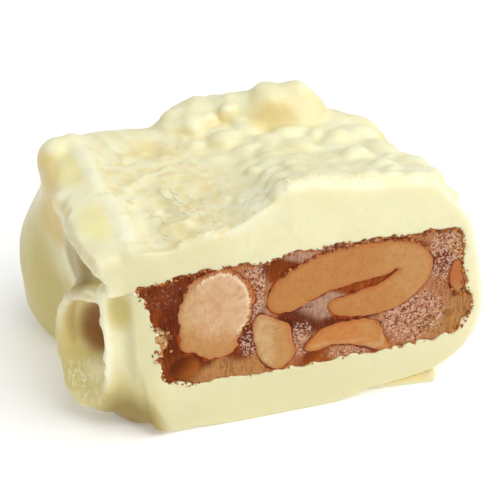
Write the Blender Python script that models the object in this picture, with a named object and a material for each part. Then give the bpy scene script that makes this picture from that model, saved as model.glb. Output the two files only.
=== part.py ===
"""A square of cashew brittle in a white chocolate coating, cut open across its front.

The coating is one lumpy body with a broken hollow curl at its front left corner.
The brittle is a slab that runs back through it, and six pieces of cashew lie in the
brittle, flush with the cut.  Lengths are in millimetres: x runs along the cut, y runs
back from it and z goes up.  The last step moves the origin and scales to metres.
"""

import math

import bmesh
import bpy
from mathutils import Matrix, Vector

MM = 0.001
ORIGIN = Vector((16.13, 17.4, -1.7))
GAP = 0.3
CUT_Y = 0.0
FLOOR_Z = -1.7
PAST_CUT = 4.0
WORK_SPACE = 90.0

# The coating's body: sections from the cut to the back.  Each is a y, the places x, z of
# the four corners and the width and height of their rounding, which both go lower right,
# upper right, upper left and lower left.
BODY_SECTIONS = (
    (-4.0, ((41.7, -2.2), (39.4, 22.2), (-1.8, 23.6), (-1.3, -2.2)), ((20, 10), (1.2, 2), (0.6, 1), (11, 2.4))),
    (0.0, ((41.7, -2.2), (39.4, 22.2), (-1.8, 23.6), (-1.3, -2.2)), ((20, 10), (1.2, 2), (0.6, 1), (11, 2.4))),
    (3.0, ((41.8, -2.4), (38.6, 23.4), (-3.6, 23.8), (-3.2, -2.4)), ((16, 9), (2, 3), (1, 2), (5, 2))),
    (6.5, ((41.9, -2.4), (38.4, 24.0), (-5.4, 24.0), (-4.6, -2.4)), ((12, 9), (3, 4), (1, 2), (3, 3))),
    (12.0, ((41.6, -2.4), (37.8, 24.2), (-5.8, 24.2), (-5.4, -2.4)), ((9, 9), (4, 5), (2, 3), (3, 3))),
    (20.0, ((40.8, -2.4), (36.2, 24.4), (-6.0, 24.2), (-6.2, -2.4)), ((9, 9), (5, 6), (3, 4), (3, 3))),
    (27.0, ((39.0, -2.4), (34.6, 24.0), (-5.6, 24.2), (-6.6, -2.4)), ((10, 9), (6, 8), (4, 6), (4, 4))),
    (31.0, ((36.0, -1.8), (31.6, 23.2), (-4.0, 23.6), (-5.6, -1.8)), ((10, 9), (7, 9), (5, 8), (5, 6))),
    (33.6, ((32.0, 1.0), (28.6, 21.5), (-0.5, 21.5), (-1.5, 1.0)), ((9, 8), (8, 9), (6, 8), (6, 8))),
    (34.8, ((26.0, 5.0), (25.0, 18.0), (5.0, 18.0), (5.0, 5.0)), ((8, 6), (8, 6), (8, 6), (8, 6))),
)
CORNER_STEPS = 6

# Rounded lumps of coating: centre, then half sizes along x, y and z.
TOP_LUMPS = (
    ((25.4, 26.8, 23.0), (5.4, 5.8, 5.2)),
    ((28.4, 25.8, 23.2), (2.8, 4.2, 4.2)),
    ((17.2, 29.4, 22.6), (6.6, 4.2, 3.6)),
    ((12.6, 25.8, 24.0), (1.8, 2.4, 2.2)),
    ((10.2, 26.4, 23.6), (2.0, 2.2, 2.0)),
    ((15.6, 21.4, 24.0), (2.3, 2.3, 2.2)),
    ((18.9, 23.2, 24.2), (2.2, 1.8, 2.0)),
    ((20.2, 18.2, 24.2), (3.9, 1.9, 2.2)),
    ((24.0, 20.6, 24.4), (2.6, 1.6, 1.9)),
    ((26.9, 18.5, 24.4), (1.3, 1.3, 1.7)),
    ((29.2, 17.0, 24.2), (2.0, 1.7, 2.0)),
    ((26.5, 3.0, 21.8), (11.5, 12.0, 5.6)),
    ((29.0, 10.8, 25.2), (2.2, 1.7, 1.7)),
    ((30.2, 5.4, 25.7), (1.9, 1.5, 1.7)),
    ((31.6, 18.8, 23.8), (3.0, 1.9, 2.0)),
    ((30.6, 22.8, 23.2), (2.8, 2.2, 2.2)),
    ((33.0, 12.9, 23.8), (2.2, 1.8, 2.0)),
    ((34.1, 6.6, 24.4), (2.3, 2.2, 2.4)),
    ((35.8, 3.2, 23.6), (2.1, 2.4, 2.4)),
    ((17.6, 13.8, 23.8), (2.6, 1.5, 1.6)),
    ((9.4, 12.2, 23.4), (2.2, 1.4, 1.4)),
    ((7.0, 14.2, 23.4), (1.8, 1.3, 1.3)),
)
# The low bead along the left rim and the tongue in front of it.
RIM_LUMPS = (
    ((-2.8, 28.6, 22.4), (3.0, 3.2, 2.4)),
    ((-2.8, 23.6, 23.2), (1.8, 4.6, 1.8)),
    ((-2.6, 16.6, 23.2), (1.4, 4.4, 1.6)),
    ((-5.6, 14.6, 22.0), (1.4, 1.8, 1.4)),
    ((-3.8, 8.8, 22.6), (2.7, 5.6, 1.6)),
    ((-2.2, 2.4, 21.0), (1.8, 3.4, 2.9)),
)
# The bulge of the left wall and the foot leaf in front of the cut.
WALL_LUMPS = (
    ((-3.0, 25.6, 8.8), (6.6, 8.0, 10.4)),
    ((-3.0, 26.4, 3.4), (5.6, 6.8, 7.4)),
)
FOOT_LEAF = ((30.6, 1.4, -1.4), (6.6, 2.8, 1.2))

# The raised coating behind the top edge of the cut: x, height of its top, half depth.
EDGE_RIDGE = (
    (3.0, 23.7, 2.0),
    (10.0, 25.1, 2.2),
    (15.0, 26.9, 2.2),
    (17.8, 29.7, 2.0),
    (21.0, 29.7, 2.2),
    (26.0, 28.6, 2.2),
    (31.0, 28.2, 2.2),
    (35.0, 27.2, 2.2),
)

# The hollow curl stands on an upright plane that runs diagonally back from the cut's
# left edge.  Places on it are the distance along it, the distance out and the height.
CORNER_X = -1.4
CORNER_TURN = math.radians(127.7)
CURL = ((7.3, 0.4, 9.2), (4.3, 3.1, 8.9))
CURL_FOOT = ((6.0, -1.3, 0.8), (4.8, 3.1, 3.8))
CURL_RIB = ((3.4, -0.3, 11.5), (0.9, 1.4, 7.6))
CURL_HOLLOW = ((7.4, 3.0, 11.9), (3.5, 5.6, 5.4))
SCOOP = ((9.2, 3.2, 20.0), (4.8, 3.6, 2.2))
GROOVE = (
    ((1.7, 0.7, 18.0), 1.1),
    ((2.1, 1.5, 9.0), 1.7),
    ((3.2, 3.4, 0.0), 3.0),
)

# The slab of brittle, the same way as the body's sections.
SLAB_SECTIONS = (
    (0.0, ((39.6, 4.9), (38.0, 20.3), (-0.5, 20.0), (1.5, 4.9)), ((3, 3), (1, 1.5), (1, 1.5), (2.4, 2.4))),
    (12.0, ((39.0, 4.6), (36.4, 20.4), (0.2, 20.4), (1.2, 4.7)), ((4, 3), (2, 2), (2, 2), (3, 3))),
    (26.0, ((35.6, 4.8), (33.0, 20.2), (0.6, 20.2), (1.4, 4.8)), ((4, 3), (3, 3), (3, 3), (3, 3))),
    (30.6, ((31.8, 5.6), (29.6, 19.2), (2.6, 19.4), (3.2, 5.6)), ((4, 3), (4, 3), (4, 3), (4, 3))),
)

# Cashew pieces: stations along each one's length, as x, z and half thickness on the
# cut, then how deep the piece is for its thickness.
NUTS = {
    "cashew_round": (
        ((8.4, 15.4, 4.5), (8.6, 14.2, 4.4), (8.2, 12.6, 4.1), (7.5, 11.9, 3.5)),
        1.3,
    ),
    "cashew_hairpin": (
        (
            (16.2, 14.9, 1.2),
            (19.4, 16.3, 2.0),
            (23.6, 17.0, 2.4),
            (28.4, 17.5, 2.3),
            (32.2, 16.4, 2.4),
            (31.4, 14.3, 1.8),
            (28.2, 12.7, 1.7),
            (24.0, 11.7, 1.5),
        ),
        1.7,
    ),
    "cashew_small": (
        ((14.4, 10.7, 1.5), (15.3, 9.2, 2.2), (15.4, 7.6, 2.3)),
        1.5,
    ),
    "cashew_crescent": (
        ((19.9, 6.8, 0.6), (22.2, 8.1, 1.4), (24.8, 8.4, 1.7), (27.4, 7.4, 1.7), (28.7, 6.3, 1.2)),
        1.6,
    ),
    "cashew_right": (
        ((37.2, 15.0, 0.8), (37.6, 13.2, 1.0), (37.7, 11.6, 0.7)),
        1.8,
    ),
    "cashew_left": (
        ((1.9, 12.9, 0.9), (2.0, 11.5, 1.1), (1.6, 10.2, 0.8)),
        1.6,
    ),
}

# The narrow gap between the two arms of the folded piece: x, z and half width.
SLIT_PIECE = "cashew_hairpin"
SLIT = ((21.2, 13.2, 0.75), (30.4, 15.4, 0.25))

COATING_VOXEL = 0.75
GROOVE_VOXEL = 0.4
COATING_KEEP = 0.19
NUT_VOXEL = 0.6
NUT_KEEP = 0.16
LUMP_FINENESS = 3

MATERIALS = {
    "white_chocolate": ((0.86, 0.80, 0.58), 0.38),
    "brittle": ((0.30, 0.09, 0.03), 0.25),
    "cashew": ((0.66, 0.40, 0.20), 0.6),
}


def remove(items):
    for item in list(items):
        bpy.data.objects.remove(item, do_unlink=True)


def material(name):
    colour, roughness = MATERIALS[name]
    made = bpy.data.materials.new(name)
    made.use_nodes = True
    shader = made.node_tree.nodes["Principled BSDF"]
    shader.inputs["Base Color"].default_value = (*colour, 1.0)
    shader.inputs["Roughness"].default_value = roughness
    return made


def object_of(name, bm, cutter=False):
    """An object of the bmesh's faces, which a cutter shows only as wires."""
    bmesh.ops.triangulate(bm, faces=bm.faces)
    bmesh.ops.recalc_face_normals(bm, faces=bm.faces)
    mesh = bpy.data.meshes.new(name)
    bm.to_mesh(mesh)
    bm.free()
    made = bpy.data.objects.new(name, mesh)
    bpy.context.collection.objects.link(made)
    if cutter:
        made.hide_render = True
        made.display_type = "WIRE"
    return made


def on_corner(place):
    """The point at a place on the corner's diagonal plane."""
    along, out, height = place
    run = Vector((math.cos(CORNER_TURN), math.sin(CORNER_TURN), 0))
    side = Vector((-run.y, run.x, 0))
    return Vector((CORNER_X, CUT_Y, height)) + run * along + side * out


def add_lump(bm, centre, half, turn=0.0):
    place = Matrix.Translation(centre) @ Matrix.Rotation(turn, 4, "Z") @ Matrix.Diagonal((*half, 1.0))
    bmesh.ops.create_icosphere(bm, subdivisions=LUMP_FINENESS, radius=1.0, matrix=place)


def add_corner_lump(bm, lump):
    place, half = lump
    add_lump(bm, on_corner(place), half, CORNER_TURN)


def section_points(section, grow):
    """One section's outline: four corners, each an arc of an ellipse."""
    y, places, roundings = section
    points = []
    for index, (corner, rounding) in enumerate(zip(places, roundings)):
        start = math.radians(90 * (index - 1))
        middle = start + math.radians(45)
        centre_x = corner[0] - math.copysign(rounding[0], math.cos(middle))
        centre_z = corner[1] - math.copysign(rounding[1], math.sin(middle))
        for step in range(CORNER_STEPS + 1):
            angle = start + math.radians(90) * step / CORNER_STEPS
            x = centre_x + (rounding[0] + grow) * math.cos(angle)
            z = centre_z + (rounding[1] + grow) * math.sin(angle)
            points.append(Vector((x, y, z)))
    return points


def add_loft(bm, sections, grow=0.0):
    """A closed body through the sections, which grow moves outwards."""
    rings = []
    for section in sections:
        rings.append([bm.verts.new(point) for point in section_points(section, grow)])
    for near, far in zip(rings, rings[1:]):
        for index in range(len(near)):
            after = (index + 1) % len(near)
            bm.faces.new((near[index], near[after], far[after], far[index]))
    bm.faces.new(rings[0])
    bm.faces.new(list(reversed(rings[-1])))


def add_chain(bm, stations):
    """Balls of the given radii, each joined to the next by a tapered length."""
    for (here, here_radius), (there, there_radius) in zip(stations, stations[1:]):
        link = bmesh.new()
        add_lump(link, here, (here_radius,) * 3)
        add_lump(link, there, (there_radius,) * 3)
        hull = bmesh.ops.convex_hull(link, input=link.verts)
        inner = [item for item in hull["geom_interior"] if isinstance(item, bmesh.types.BMVert)]
        bmesh.ops.delete(link, geom=inner, context="VERTS")
        joined = bpy.data.meshes.new("link")
        link.to_mesh(joined)
        link.free()
        bm.from_mesh(joined)
        bpy.data.meshes.remove(joined)


def modifier(made, name, kind, **settings):
    added = made.modifiers.new(name, kind)
    for key, value in settings.items():
        setattr(added, key, value)
    return added


def cut(made, cutter):
    modifier(made, "Cut " + cutter.name, "BOOLEAN", operation="DIFFERENCE", solver="EXACT", object=cutter)


def fuse(made, voxel, smooth):
    """Makes one skin of overlapping forms and rounds it off."""
    modifier(made, "Fuse", "REMESH", mode="VOXEL", voxel_size=voxel)
    modifier(made, "Soften", "SMOOTH", factor=0.5, iterations=smooth)


def thin_out(made, keep):
    modifier(made, "Thin out", "DECIMATE", ratio=keep)
    modifier(made, "Split", "TRIANGULATE")


def applied(made, name):
    """A plain copy of the object as its modifiers shape it."""
    graph = bpy.context.evaluated_depsgraph_get()
    mesh = bpy.data.meshes.new_from_object(made.evaluated_get(graph))
    remove([made])
    copy = bpy.data.objects.new(name, mesh)
    bpy.context.collection.objects.link(copy)
    return copy


def box_cutter(name, low, high):
    bm = bmesh.new()
    size = Vector(high) - Vector(low)
    middle = (Vector(high) + Vector(low)) / 2
    place = Matrix.Translation(middle) @ Matrix.Diagonal((*size, 1.0))
    bmesh.ops.create_cube(bm, size=1.0, matrix=place)
    return object_of(name, bm, cutter=True)


def coating_body():
    """The coating before the flat cuts and before the brittle's room is taken out."""
    bm = bmesh.new()
    add_loft(bm, BODY_SECTIONS)
    for centre, half in TOP_LUMPS + RIM_LUMPS + WALL_LUMPS + (FOOT_LEAF,):
        add_lump(bm, centre, half)
    for lump in (CURL, CURL_FOOT, CURL_RIB):
        add_corner_lump(bm, lump)
    for here, there in zip(EDGE_RIDGE, EDGE_RIDGE[1:]):
        link = []
        for x, top, depth in (here, there):
            link.append((Vector((x, CUT_Y + depth / 2, top - depth)), depth))
        add_chain(bm, link)
    body = object_of("body", bm)
    fuse(body, COATING_VOXEL, 1)

    cutters = []
    for name, lump in (("hollow", CURL_HOLLOW), ("scoop", SCOOP)):
        bm = bmesh.new()
        add_corner_lump(bm, lump)
        cutters.append(object_of(name, bm, cutter=True))
    bm = bmesh.new()
    add_chain(bm, [(on_corner(place), radius) for place, radius in GROOVE])
    groove = object_of("groove", bm, cutter=True)
    modifier(groove, "Fuse", "REMESH", mode="VOXEL", voxel_size=GROOVE_VOXEL)
    cutters.append(groove)
    for cutter in cutters:
        cut(body, cutter)
    fuse(body, COATING_VOXEL, 2)
    thin_out(body, COATING_KEEP)
    coating = applied(body, "coating")
    remove(cutters)
    return coating


def nut_body(label, name, grow):
    """One piece of cashew as a whole round form, before the cut."""
    stations, deepness = NUTS[name]
    bm = bmesh.new()
    balls = [(Vector((x, CUT_Y, z)), half + grow) for x, z, half in stations]
    add_chain(bm, balls)
    bmesh.ops.scale(bm, vec=(1.0, deepness, 1.0), verts=bm.verts)
    body = object_of(label, bm)
    fuse(body, NUT_VOXEL, 2)
    thin_out(body, NUT_KEEP)
    return body


def slit_cutter():
    """A thin wedge that stands through the whole depth of the folded piece."""
    bm = bmesh.new()
    add_chain(bm, [(Vector((x, CUT_Y, z)), half) for x, z, half in SLIT])
    bmesh.ops.scale(bm, vec=(1.0, WORK_SPACE, 1.0), verts=bm.verts)
    return object_of("slit", bm, cutter=True)


def slab_body(name, grow):
    """The brittle's slab, or with grow above nothing the room it lies in."""
    sections = list(SLAB_SECTIONS)
    if grow:
        end_y, *end_outline = SLAB_SECTIONS[-1]
        sections[-1] = (end_y + grow, *end_outline)
        sections.insert(0, (CUT_Y - PAST_CUT, *SLAB_SECTIONS[0][1:]))
    bm = bmesh.new()
    add_loft(bm, sections, grow)
    return object_of(name, bm)


def build():
    remove(bpy.data.objects)
    far = WORK_SPACE
    front = box_cutter("front", (-far, -far, -far), (far, CUT_Y, far))
    under = box_cutter("under", (-far, -far, -far), (far, far, FLOOR_Z))
    room = slab_body("room", GAP)
    coating = coating_body()
    for cutter in (front, under, room):
        cut(coating, cutter)
    parts = [(applied(coating, "coating"), "white_chocolate")]

    slab = slab_body("slab", 0.0)
    slit = slit_cutter()
    helpers = [front, under, room, slit]
    for name in NUTS:
        pocket = nut_body(name + "_pocket", name, GAP)
        helpers.append(pocket)
        cut(slab, pocket)
        nut = nut_body(name + "_whole", name, 0.0)
        cut(nut, front)
        if name == SLIT_PIECE:
            cut(nut, slit)
        parts.append((applied(nut, name), "cashew"))
    parts.insert(1, (applied(slab, "brittle"), "brittle"))
    remove(helpers)

    to_metres = Matrix.Scale(MM, 4) @ Matrix.Translation(-ORIGIN)
    made = {name: material(name) for name in MATERIALS}
    for item, slot in parts:
        item.data.transform(to_metres)
        item.data.materials.clear()
        item.data.materials.append(made[slot])


build()
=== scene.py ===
"""Looks of a square of cashew brittle in white chocolate, cut open across its front.

Lengths are in millimetres: x runs along the cut, y runs back from it and z goes up.
to_row() turns them into the row frame, in metres.  Each piece is a signed distance on
a grid, below zero inside, and skin() finds its surface.
"""

import math

import bmesh
import bpy
import numpy as np
from mathutils import Matrix, Vector


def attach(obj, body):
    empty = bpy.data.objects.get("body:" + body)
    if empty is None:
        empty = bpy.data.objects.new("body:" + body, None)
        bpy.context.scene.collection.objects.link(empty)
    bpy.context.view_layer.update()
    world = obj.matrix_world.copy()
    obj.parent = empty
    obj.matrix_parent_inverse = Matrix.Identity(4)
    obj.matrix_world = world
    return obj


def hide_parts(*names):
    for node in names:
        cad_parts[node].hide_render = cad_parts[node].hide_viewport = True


MM = 0.001
ORIGIN = np.array((16.13, 17.4, -1.7))
FLOOR_Z = -1.7
CUT_Y = 0.0
BACK_Y = 34.8
FAR = 50.0
BODY = "root"

# Outlines on the cut, as x, z.
CUT_OUTLINE = (
    (0.9, -0.7), (6.0, -1.25), (12.2, -1.75), (18.5, -2.1), (22.0, -1.9), (25.4, -1.2),
    (27.5, -0.5), (31.3, -0.1), (35.6, 0.6), (38.7, 2.5), (40.9, 4.6), (41.75, 7.8),
    (41.7, 10.4), (40.8, 15.4), (39.85, 19.0), (39.0, 21.5), (37.8, 23.6), (36.9, 26.0),
    (36.2, 28.0), (35.4, 33.0), (34.6, 37.0), (-4.0, 37.0), (-4.8, 30.0), (-5.2, 23.2),
    (-4.7, 21.4), (-4.0, 20.2), (-4.2, 19.0), (-3.2, 18.4), (-2.2, 18.4), (-1.6, 17.9),
    (-1.35, 16.0), (-1.2, 11.4), (-0.6, 7.4), (0.1, 3.2),
)
SLAB_OUTLINE = (
    (-0.6, 19.4), (2.8, 19.8), (6.4, 20.3), (10.6, 20.4), (13.9, 20.0), (16.0, 20.6),
    (22.6, 20.9), (28.5, 20.7), (33.0, 20.4), (36.4, 20.3), (38.1, 19.6), (38.6, 15.5),
    (39.5, 11.4), (40.1, 9.1), (39.6, 7.4), (38.3, 6.0), (35.6, 5.2), (29.9, 4.8),
    (21.9, 4.8), (12.3, 4.8), (6.4, 5.0), (3.6, 5.5), (1.8, 6.8), (1.5, 10.5),
    (0.9, 13.7), (0.1, 17.0), (-0.7, 18.6),
)
NUTS = {
    "cashew_round": (
        (5.4, 19.2), (7.6, 20.1), (10.1, 19.9), (12.2, 17.7), (13.0, 15.4), (12.4, 13.2),
        (11.4, 11.2), (10.5, 9.2), (8.6, 8.1), (6.6, 8.7), (4.1, 10.1), (3.8, 12.6),
        (4.2, 16.2),
    ),
    "cashew_hairpin": (
        (14.3, 14.2), (15.0, 16.7), (16.9, 18.3), (19.7, 19.7), (22.6, 20.2),
        (28.5, 20.3), (31.1, 19.9), (33.3, 18.8), (34.7, 16.6), (34.2, 14.0),
        (32.0, 11.5), (29.1, 10.4), (25.9, 10.3), (23.2, 10.8), (21.9, 12.0),
        (21.9, 13.3), (24.0, 13.8), (27.6, 14.4), (30.2, 16.0), (28.8, 15.5),
        (25.7, 15.2), (22.8, 14.8), (19.9, 13.8), (17.5, 12.9), (15.4, 12.8),
    ),
    "cashew_small": (
        (12.9, 12.9), (14.2, 12.9), (15.8, 12.0), (17.0, 11.1), (17.4, 9.4), (17.8, 6.9),
        (17.0, 5.5), (15.8, 4.9), (14.6, 5.4), (13.4, 6.9), (12.8, 8.9), (12.5, 11.2),
    ),
    "cashew_crescent": (
        (18.9, 7.0), (19.9, 8.7), (21.6, 9.8), (24.4, 10.2), (27.3, 9.7), (28.4, 8.7),
        (29.2, 6.8), (30.0, 5.0), (28.6, 4.8), (27.3, 5.3), (25.9, 6.1), (24.2, 6.6),
        (22.3, 6.9), (20.4, 6.5),
    ),
    "cashew_right": (
        (37.1, 15.6), (37.9, 15.9), (38.5, 15.0), (38.7, 12.9), (38.8, 11.7),
        (38.1, 10.9), (37.3, 12.0), (36.8, 13.4),
    ),
    "cashew_left": (
        (1.2, 13.9), (2.6, 12.9), (2.9, 11.6), (2.4, 10.6), (1.9, 9.4), (1.1, 9.5),
        (1.1, 11.6),
    ),
}
# How far back each nut reaches.
NUT_DEPTH = {
    "cashew_round": 5.7,
    "cashew_hairpin": 3.9,
    "cashew_small": 3.2,
    "cashew_crescent": 2.6,
    "cashew_right": 1.5,
    "cashew_left": 1.5,
}
CRUMBLY = ("cashew_left",)

# The slab behind the cut: its sides as y, x, how they lean, and its other faces.
SLAB_RIGHT = ((0, 39.2), (12, 38.4), (26, 34.6), (31, 33))
SLAB_LEFT = ((0, 1.0), (12, 0.8), (26, 1.2), (31, 3.2))
SLAB_LEAN = 0.12
SLAB_MIDDLE_Z = 12
SLAB_FOOT_Z = 4.7
SLAB_TOP_Z = 20.3
SLAB_BACK_Y = 30.5
# The noise on the cut: where it reaches along x and z, and its step.
CUT_NOISE_SPAN = ((-12, 46), (-4, 36))
CUT_NOISE_STEP = 0.15

# The body's sides by depth: pairs of y and x, at the floor and at the top's corner.
RIGHT_FOOT = ((0, 41.5), (6.5, 41.7), (12, 41.5), (20, 40.8), (27, 39), (31, 37), (34.8, 34))
RIGHT_TOP = ((0, 39.4), (6.5, 38.4), (12, 37.8), (20, 36.2), (27, 34.6), (31, 33), (34.8, 31))
LEFT_FOOT = ((0, -1.3), (3, -3.2), (6.5, -4.6), (12, -5.4), (20, -6.2), (27, -6.6), (34.8, -4.5))
LEFT_TOP = ((0, -1.8), (3, -3.6), (6.5, -5.4), (12, -5.8), (20, -6.0), (27, -5.8), (34.8, -3.4))
RIGHT_TOP_ROUND = ((0, 2.2), (6.5, 4.2), (12, 4.8), (20, 5.2), (27, 6.5), (34.8, 7))
LEFT_TOP_ROUND = ((0, 0.8), (6.5, 1.4), (20, 2.4), (27, 4.5), (34.8, 6))
TOP_CORNER_Z = 22.4
FOOT_ROUND = 4.5
BACK_ROUND = 7.5
# Where the left side's rounding of the top gives way to the right side's.
MIDDLE_X = 16

# The top: heights along the cut, and the share of them left at a depth.
LOW_TOP = 23.7
HIGH_TOP = 24.3
RIDGE_RIGHT = (
    (12, 29.1), (16.5, 29.4), (20.4, 29.3), (25.1, 28.3), (29.7, 27.8), (33.0, 27.4),
    (35.6, 26.6), (37.2, 25.0), (38.6, 23.4), (41, 20),
)
RIDGE_LEFT = (
    (-6, 22.8), (-3.4, 23.1), (-1.7, 23.7), (3.7, 23.6), (7.3, 24.3), (10.4, 25.0),
    (13.7, 26.6), (16.1, 27.7), (19, 28.4),
)
RIDGE_RIGHT_FALL = (
    (0, 1), (2, 1), (5, 0.74), (8, 0.52), (11, 0.37), (15, 0.18), (20, 0.06), (26, 0),
)
RIDGE_LEFT_FALL = ((0, 1), (3, 0.92), (6, 0.62), (10, 0.18), (14, 0))
STEP_X = 16.4
STEP_LEAN = 0.12

# Scraped marks on the left of the top: start, end, half width and height.
RIDGES = (
    ((5.4, 13.0), (6.7, 5.2), 0.5, 0.22),
    ((6.4, 12.4), (7.6, 5.6), 0.4, 0.2),
    ((6.6, 17.4), (4.6, 16.6), 0.45, 0.18),
    ((4.6, 16.6), (2.6, 15.4), 0.45, 0.22),
    ((8.4, 23.8), (6.3, 15.4), 0.3, 0.1),
    ((1.7, 28.3), (3.4, 21.6), 0.6, 0.35),
    ((3.9, 28.6), (5.6, 24.0), 0.5, 0.3),
    ((1.8, 14.4), (1.7, 14.9), 0.6, 0.25),
    ((1.6, 11.7), (1.7, 12.1), 0.6, 0.25),
    ((3.6, 4.9), (6.0, 4.4), 0.8, 0.55),
    ((4.4, 0.6), (7.2, 0.8), 0.5, 0.45),
    ((7.6, 0.8), (9.6, 0.9), 0.35, 0.3),
    ((0.6, 13.0), (0.9, 9.0), 0.3, 0.25),
    ((9.4, 8.4), (11.6, 6.8), 0.3, 0.3),
    ((12.4, 5.2), (15.2, 3.8), 0.3, 0.2),
    ((12.8, 3.4), (15.4, 2.6), 0.3, 0.18),
    ((12.6, 1.9), (14.8, 1.4), 0.3, 0.18),
)
# Dips in it: middle, half sizes and depth.
HOLLOWS = (
    ((7.1, 23.5), (2.0, 2.2), 0.4),
    ((4.4, 11.2), (1.2, 3.0), 0.15),
    ((14.6, 2.4), (1.5, 1.9), 0.15),
    ((9.2, 9.4), (2.0, 2.0), 0.3),
    ((4.6, 7.4), (1.6, 1.6), 0.3),
    ((1.7, 8.4), (1.5, 5.6), 0.5),
)
# Fine scratches: how many, between which corners, and how they lie.
SCRATCH_SEED = 5
SCRATCH_COUNT = 90
SCRATCH_LOW = (-1, 1)
SCRATCH_HIGH = (16, 25)
SCRATCH_TURN = math.radians(-60)
SCRATCH_SPREAD = 0.7
SCRATCH_LENGTH = (0.5, 2.6)
SCRATCH_HALF = (0.2, 0.4)
SCRATCH_HEIGHT = 0.08

# Knobs on the top: x, y, half sizes along and across, rise over the top, turn.
KNOBS = (
    (13.1, 26.8, 1.9, 2.8, 1.3, 0),
    (14.8, 31.0, 1.7, 1.7, 0.7, 0),
    (15.9, 21.8, 2.6, 2.5, 1.2, 20),
    (19.3, 23.0, 2.5, 1.8, 1.1, -20),
    (20.8, 18.6, 2.9, 1.9, 1.0, -43),
    (23.4, 16.0, 3.1, 1.7, 1.1, -43),
    (23.4, 20.4, 2.6, 1.7, 1.0, -20),
    (26.6, 18.8, 1.6, 1.5, 1.0, 0),
    (28.9, 17.4, 2.1, 1.9, 1.2, 0),
    (26.9, 14.1, 2.6, 1.3, 0.6, -40),
    (28.6, 10.9, 2.3, 2.0, 1.1, 10),
    (30.1, 5.9, 2.0, 1.8, 0.9, 0),
    (31.9, 18.4, 3.5, 1.8, 0.8, -24),
    (30.4, 22.6, 3.0, 2.2, 0.6, 0),
    (32.6, 13.2, 2.0, 2.9, 0.5, 12),
    (34.2, 7.6, 2.7, 2.4, 0.4, 0),
    (35.4, 4.0, 1.5, 1.7, 0.1, 0),
    (17.6, 14.0, 2.8, 1.4, 0.6, -20),
    (17.9, 18.0, 2.4, 1.5, 0.6, -10),
    (10.6, 28.0, 1.8, 2.4, 0.7, 0),
    (10.0, 13.1, 2.6, 1.5, 0.4, -15),
    (7.4, 15.6, 2.0, 1.4, 0.35, 0),
    (13.4, 17.8, 2.2, 1.5, 0.4, -30),
    (12.3, 22.4, 2.0, 1.6, 0.4, 10),
)
KNOB_BLEND = 0.6
# Smaller bumps fill the rest of the knobbly part: where, how far apart, and how large.
BUMP_SEED = 6
BUMP_X = (12.0, 37.5)
BUMP_Y = (2.0, 33.0)
BUMP_APART = 2.5
BUMP_STRAY = 1.0
BUMP_HALF = (1.0, 1.9)
BUMP_RISE = (0.0, 0.55)
BUMP_BLEND = 0.42
BUMP_LOWEST = 20.5
# The left front of the top has no bumps: it is in front of this y and left of this x.
PLAIN_X = 15
PLAIN_Y = 22
# The mound stays smooth: its middle, and how far out.
MOUND = (24.0, 26.6, 5.2)
# Larger lumps: centre, half sizes, how softly they join, turn.
LUMPS = (
    ((16.2, 29.8, 22.2), (7.0, 4.0, 3.6), 1.8, 0),
    ((19.8, 28.4, 23.4), (3.2, 3.4, 3.3), 1.4, 0),
    ((33.6, 23.4, 22.4), (3.4, 1.5, 1.6), 0.6, -47),
    ((2.6, 29.6, 20.7), (6.4, 2.6, 2.5), 1.2, 0),
    ((-3.9, 27.2, 21.6), (2.6, 2.7, 3.2), 0.6, 0),
    ((-2.0, 27.7, 21.6), (2.4, 2.5, 3.2), 0.6, 0),
    ((-1.6, 20.4, 22.6), (1.6, 8.6, 1.8), 1.4, -3),
    ((-5.4, 22.4, 20.7), (1.3, 5.2, 2.2), 0.7, 0),
    ((-5.5, 16.2, 22.2), (1.2, 1.5, 1.4), 0.5, 0),
    ((-3.0, 25.6, 8.8), (6.8, 8.0, 10.3), 2.5, 0),
    ((-2.5, 26.8, 3.0), (6.2, 6.8, 7.4), 2.5, 0),
)
# The mound: one lump with a few broad facets.
MOUND_LUMPS = (
    ((22.8, 27.0, 23.0), (3.6, 4.4, 5.1), 1.4, 0),
    ((26.3, 26.5, 23.0), (4.6, 2.9, 5.4), 1.6, -58),
    ((24.4, 24.8, 22.8), (3.2, 2.6, 3.4), 1.8, -20),
)
# From here, a chain is given by its stations: place and radius.
GOLDEN_RECESS = (
    ((-4.2, 23.6, 28.6), 4.4), ((-4.5, 20.0, 28.5), 4.4), ((-4.3, 16.8, 28.4), 4.3),
)

# The hollow curl stands on an upright plane that runs diagonally back from the cut's
# left edge.  Places on it are the distance along it, the distance out and the height.
# Its lumps are given by place, half sizes and blend.
CORNER_X = -1.4
CORNER_TURN = math.radians(127.7)
CURL = ((6.2, -1.9, 10.2), (4.5, 3.2, 8.6), 0.9)
CURL_RING = (
    ((3.4, 0.6, 17.5), 1.1), ((5.2, 0.5, 17.0), 1.25), ((6.9, 0.5, 16.3), 1.35),
    ((8.0, 0.5, 15.1), 1.35), ((8.8, 0.5, 13.5), 1.35), ((9.3, 0.5, 11.9), 1.35),
    ((9.4, 0.5, 10.1), 1.35), ((9.1, 0.5, 8.0), 1.4), ((8.5, 0.5, 5.8), 1.45),
    ((8.0, 0.4, 4.2), 1.5),
)
CURL_FOOT = (
    ((8.5, 0.2, 4.0), 1.6), ((7.7, -0.3, 2.2), 1.7), ((5.4, -0.8, 2.6), 2.0),
    ((5.6, -1.6, 7.0), 2.4),
)
CURL_HOLLOW = ((5.6, 0.9, 12.3), (3.5, 4.3, 3.9), 1.7)
HOLLOW_TURN = math.radians(-16)
CURL_FOLD = ((4.7, 1.8, 17.3), (1.2, 0.9, 0.7), 0.5)
BROKEN_PATCH = ((6.2, 4.5, 5.2), (2.5, 3.5, 4.1), 0.15)
RIB = (
    ((2.9, 0.5, 18.4), 1.25), ((2.5, 0.6, 13.6), 1.2), ((2.1, 0.6, 10.0), 1.2),
    ((2.4, 0.6, 8.0), 1.3),
)
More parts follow.
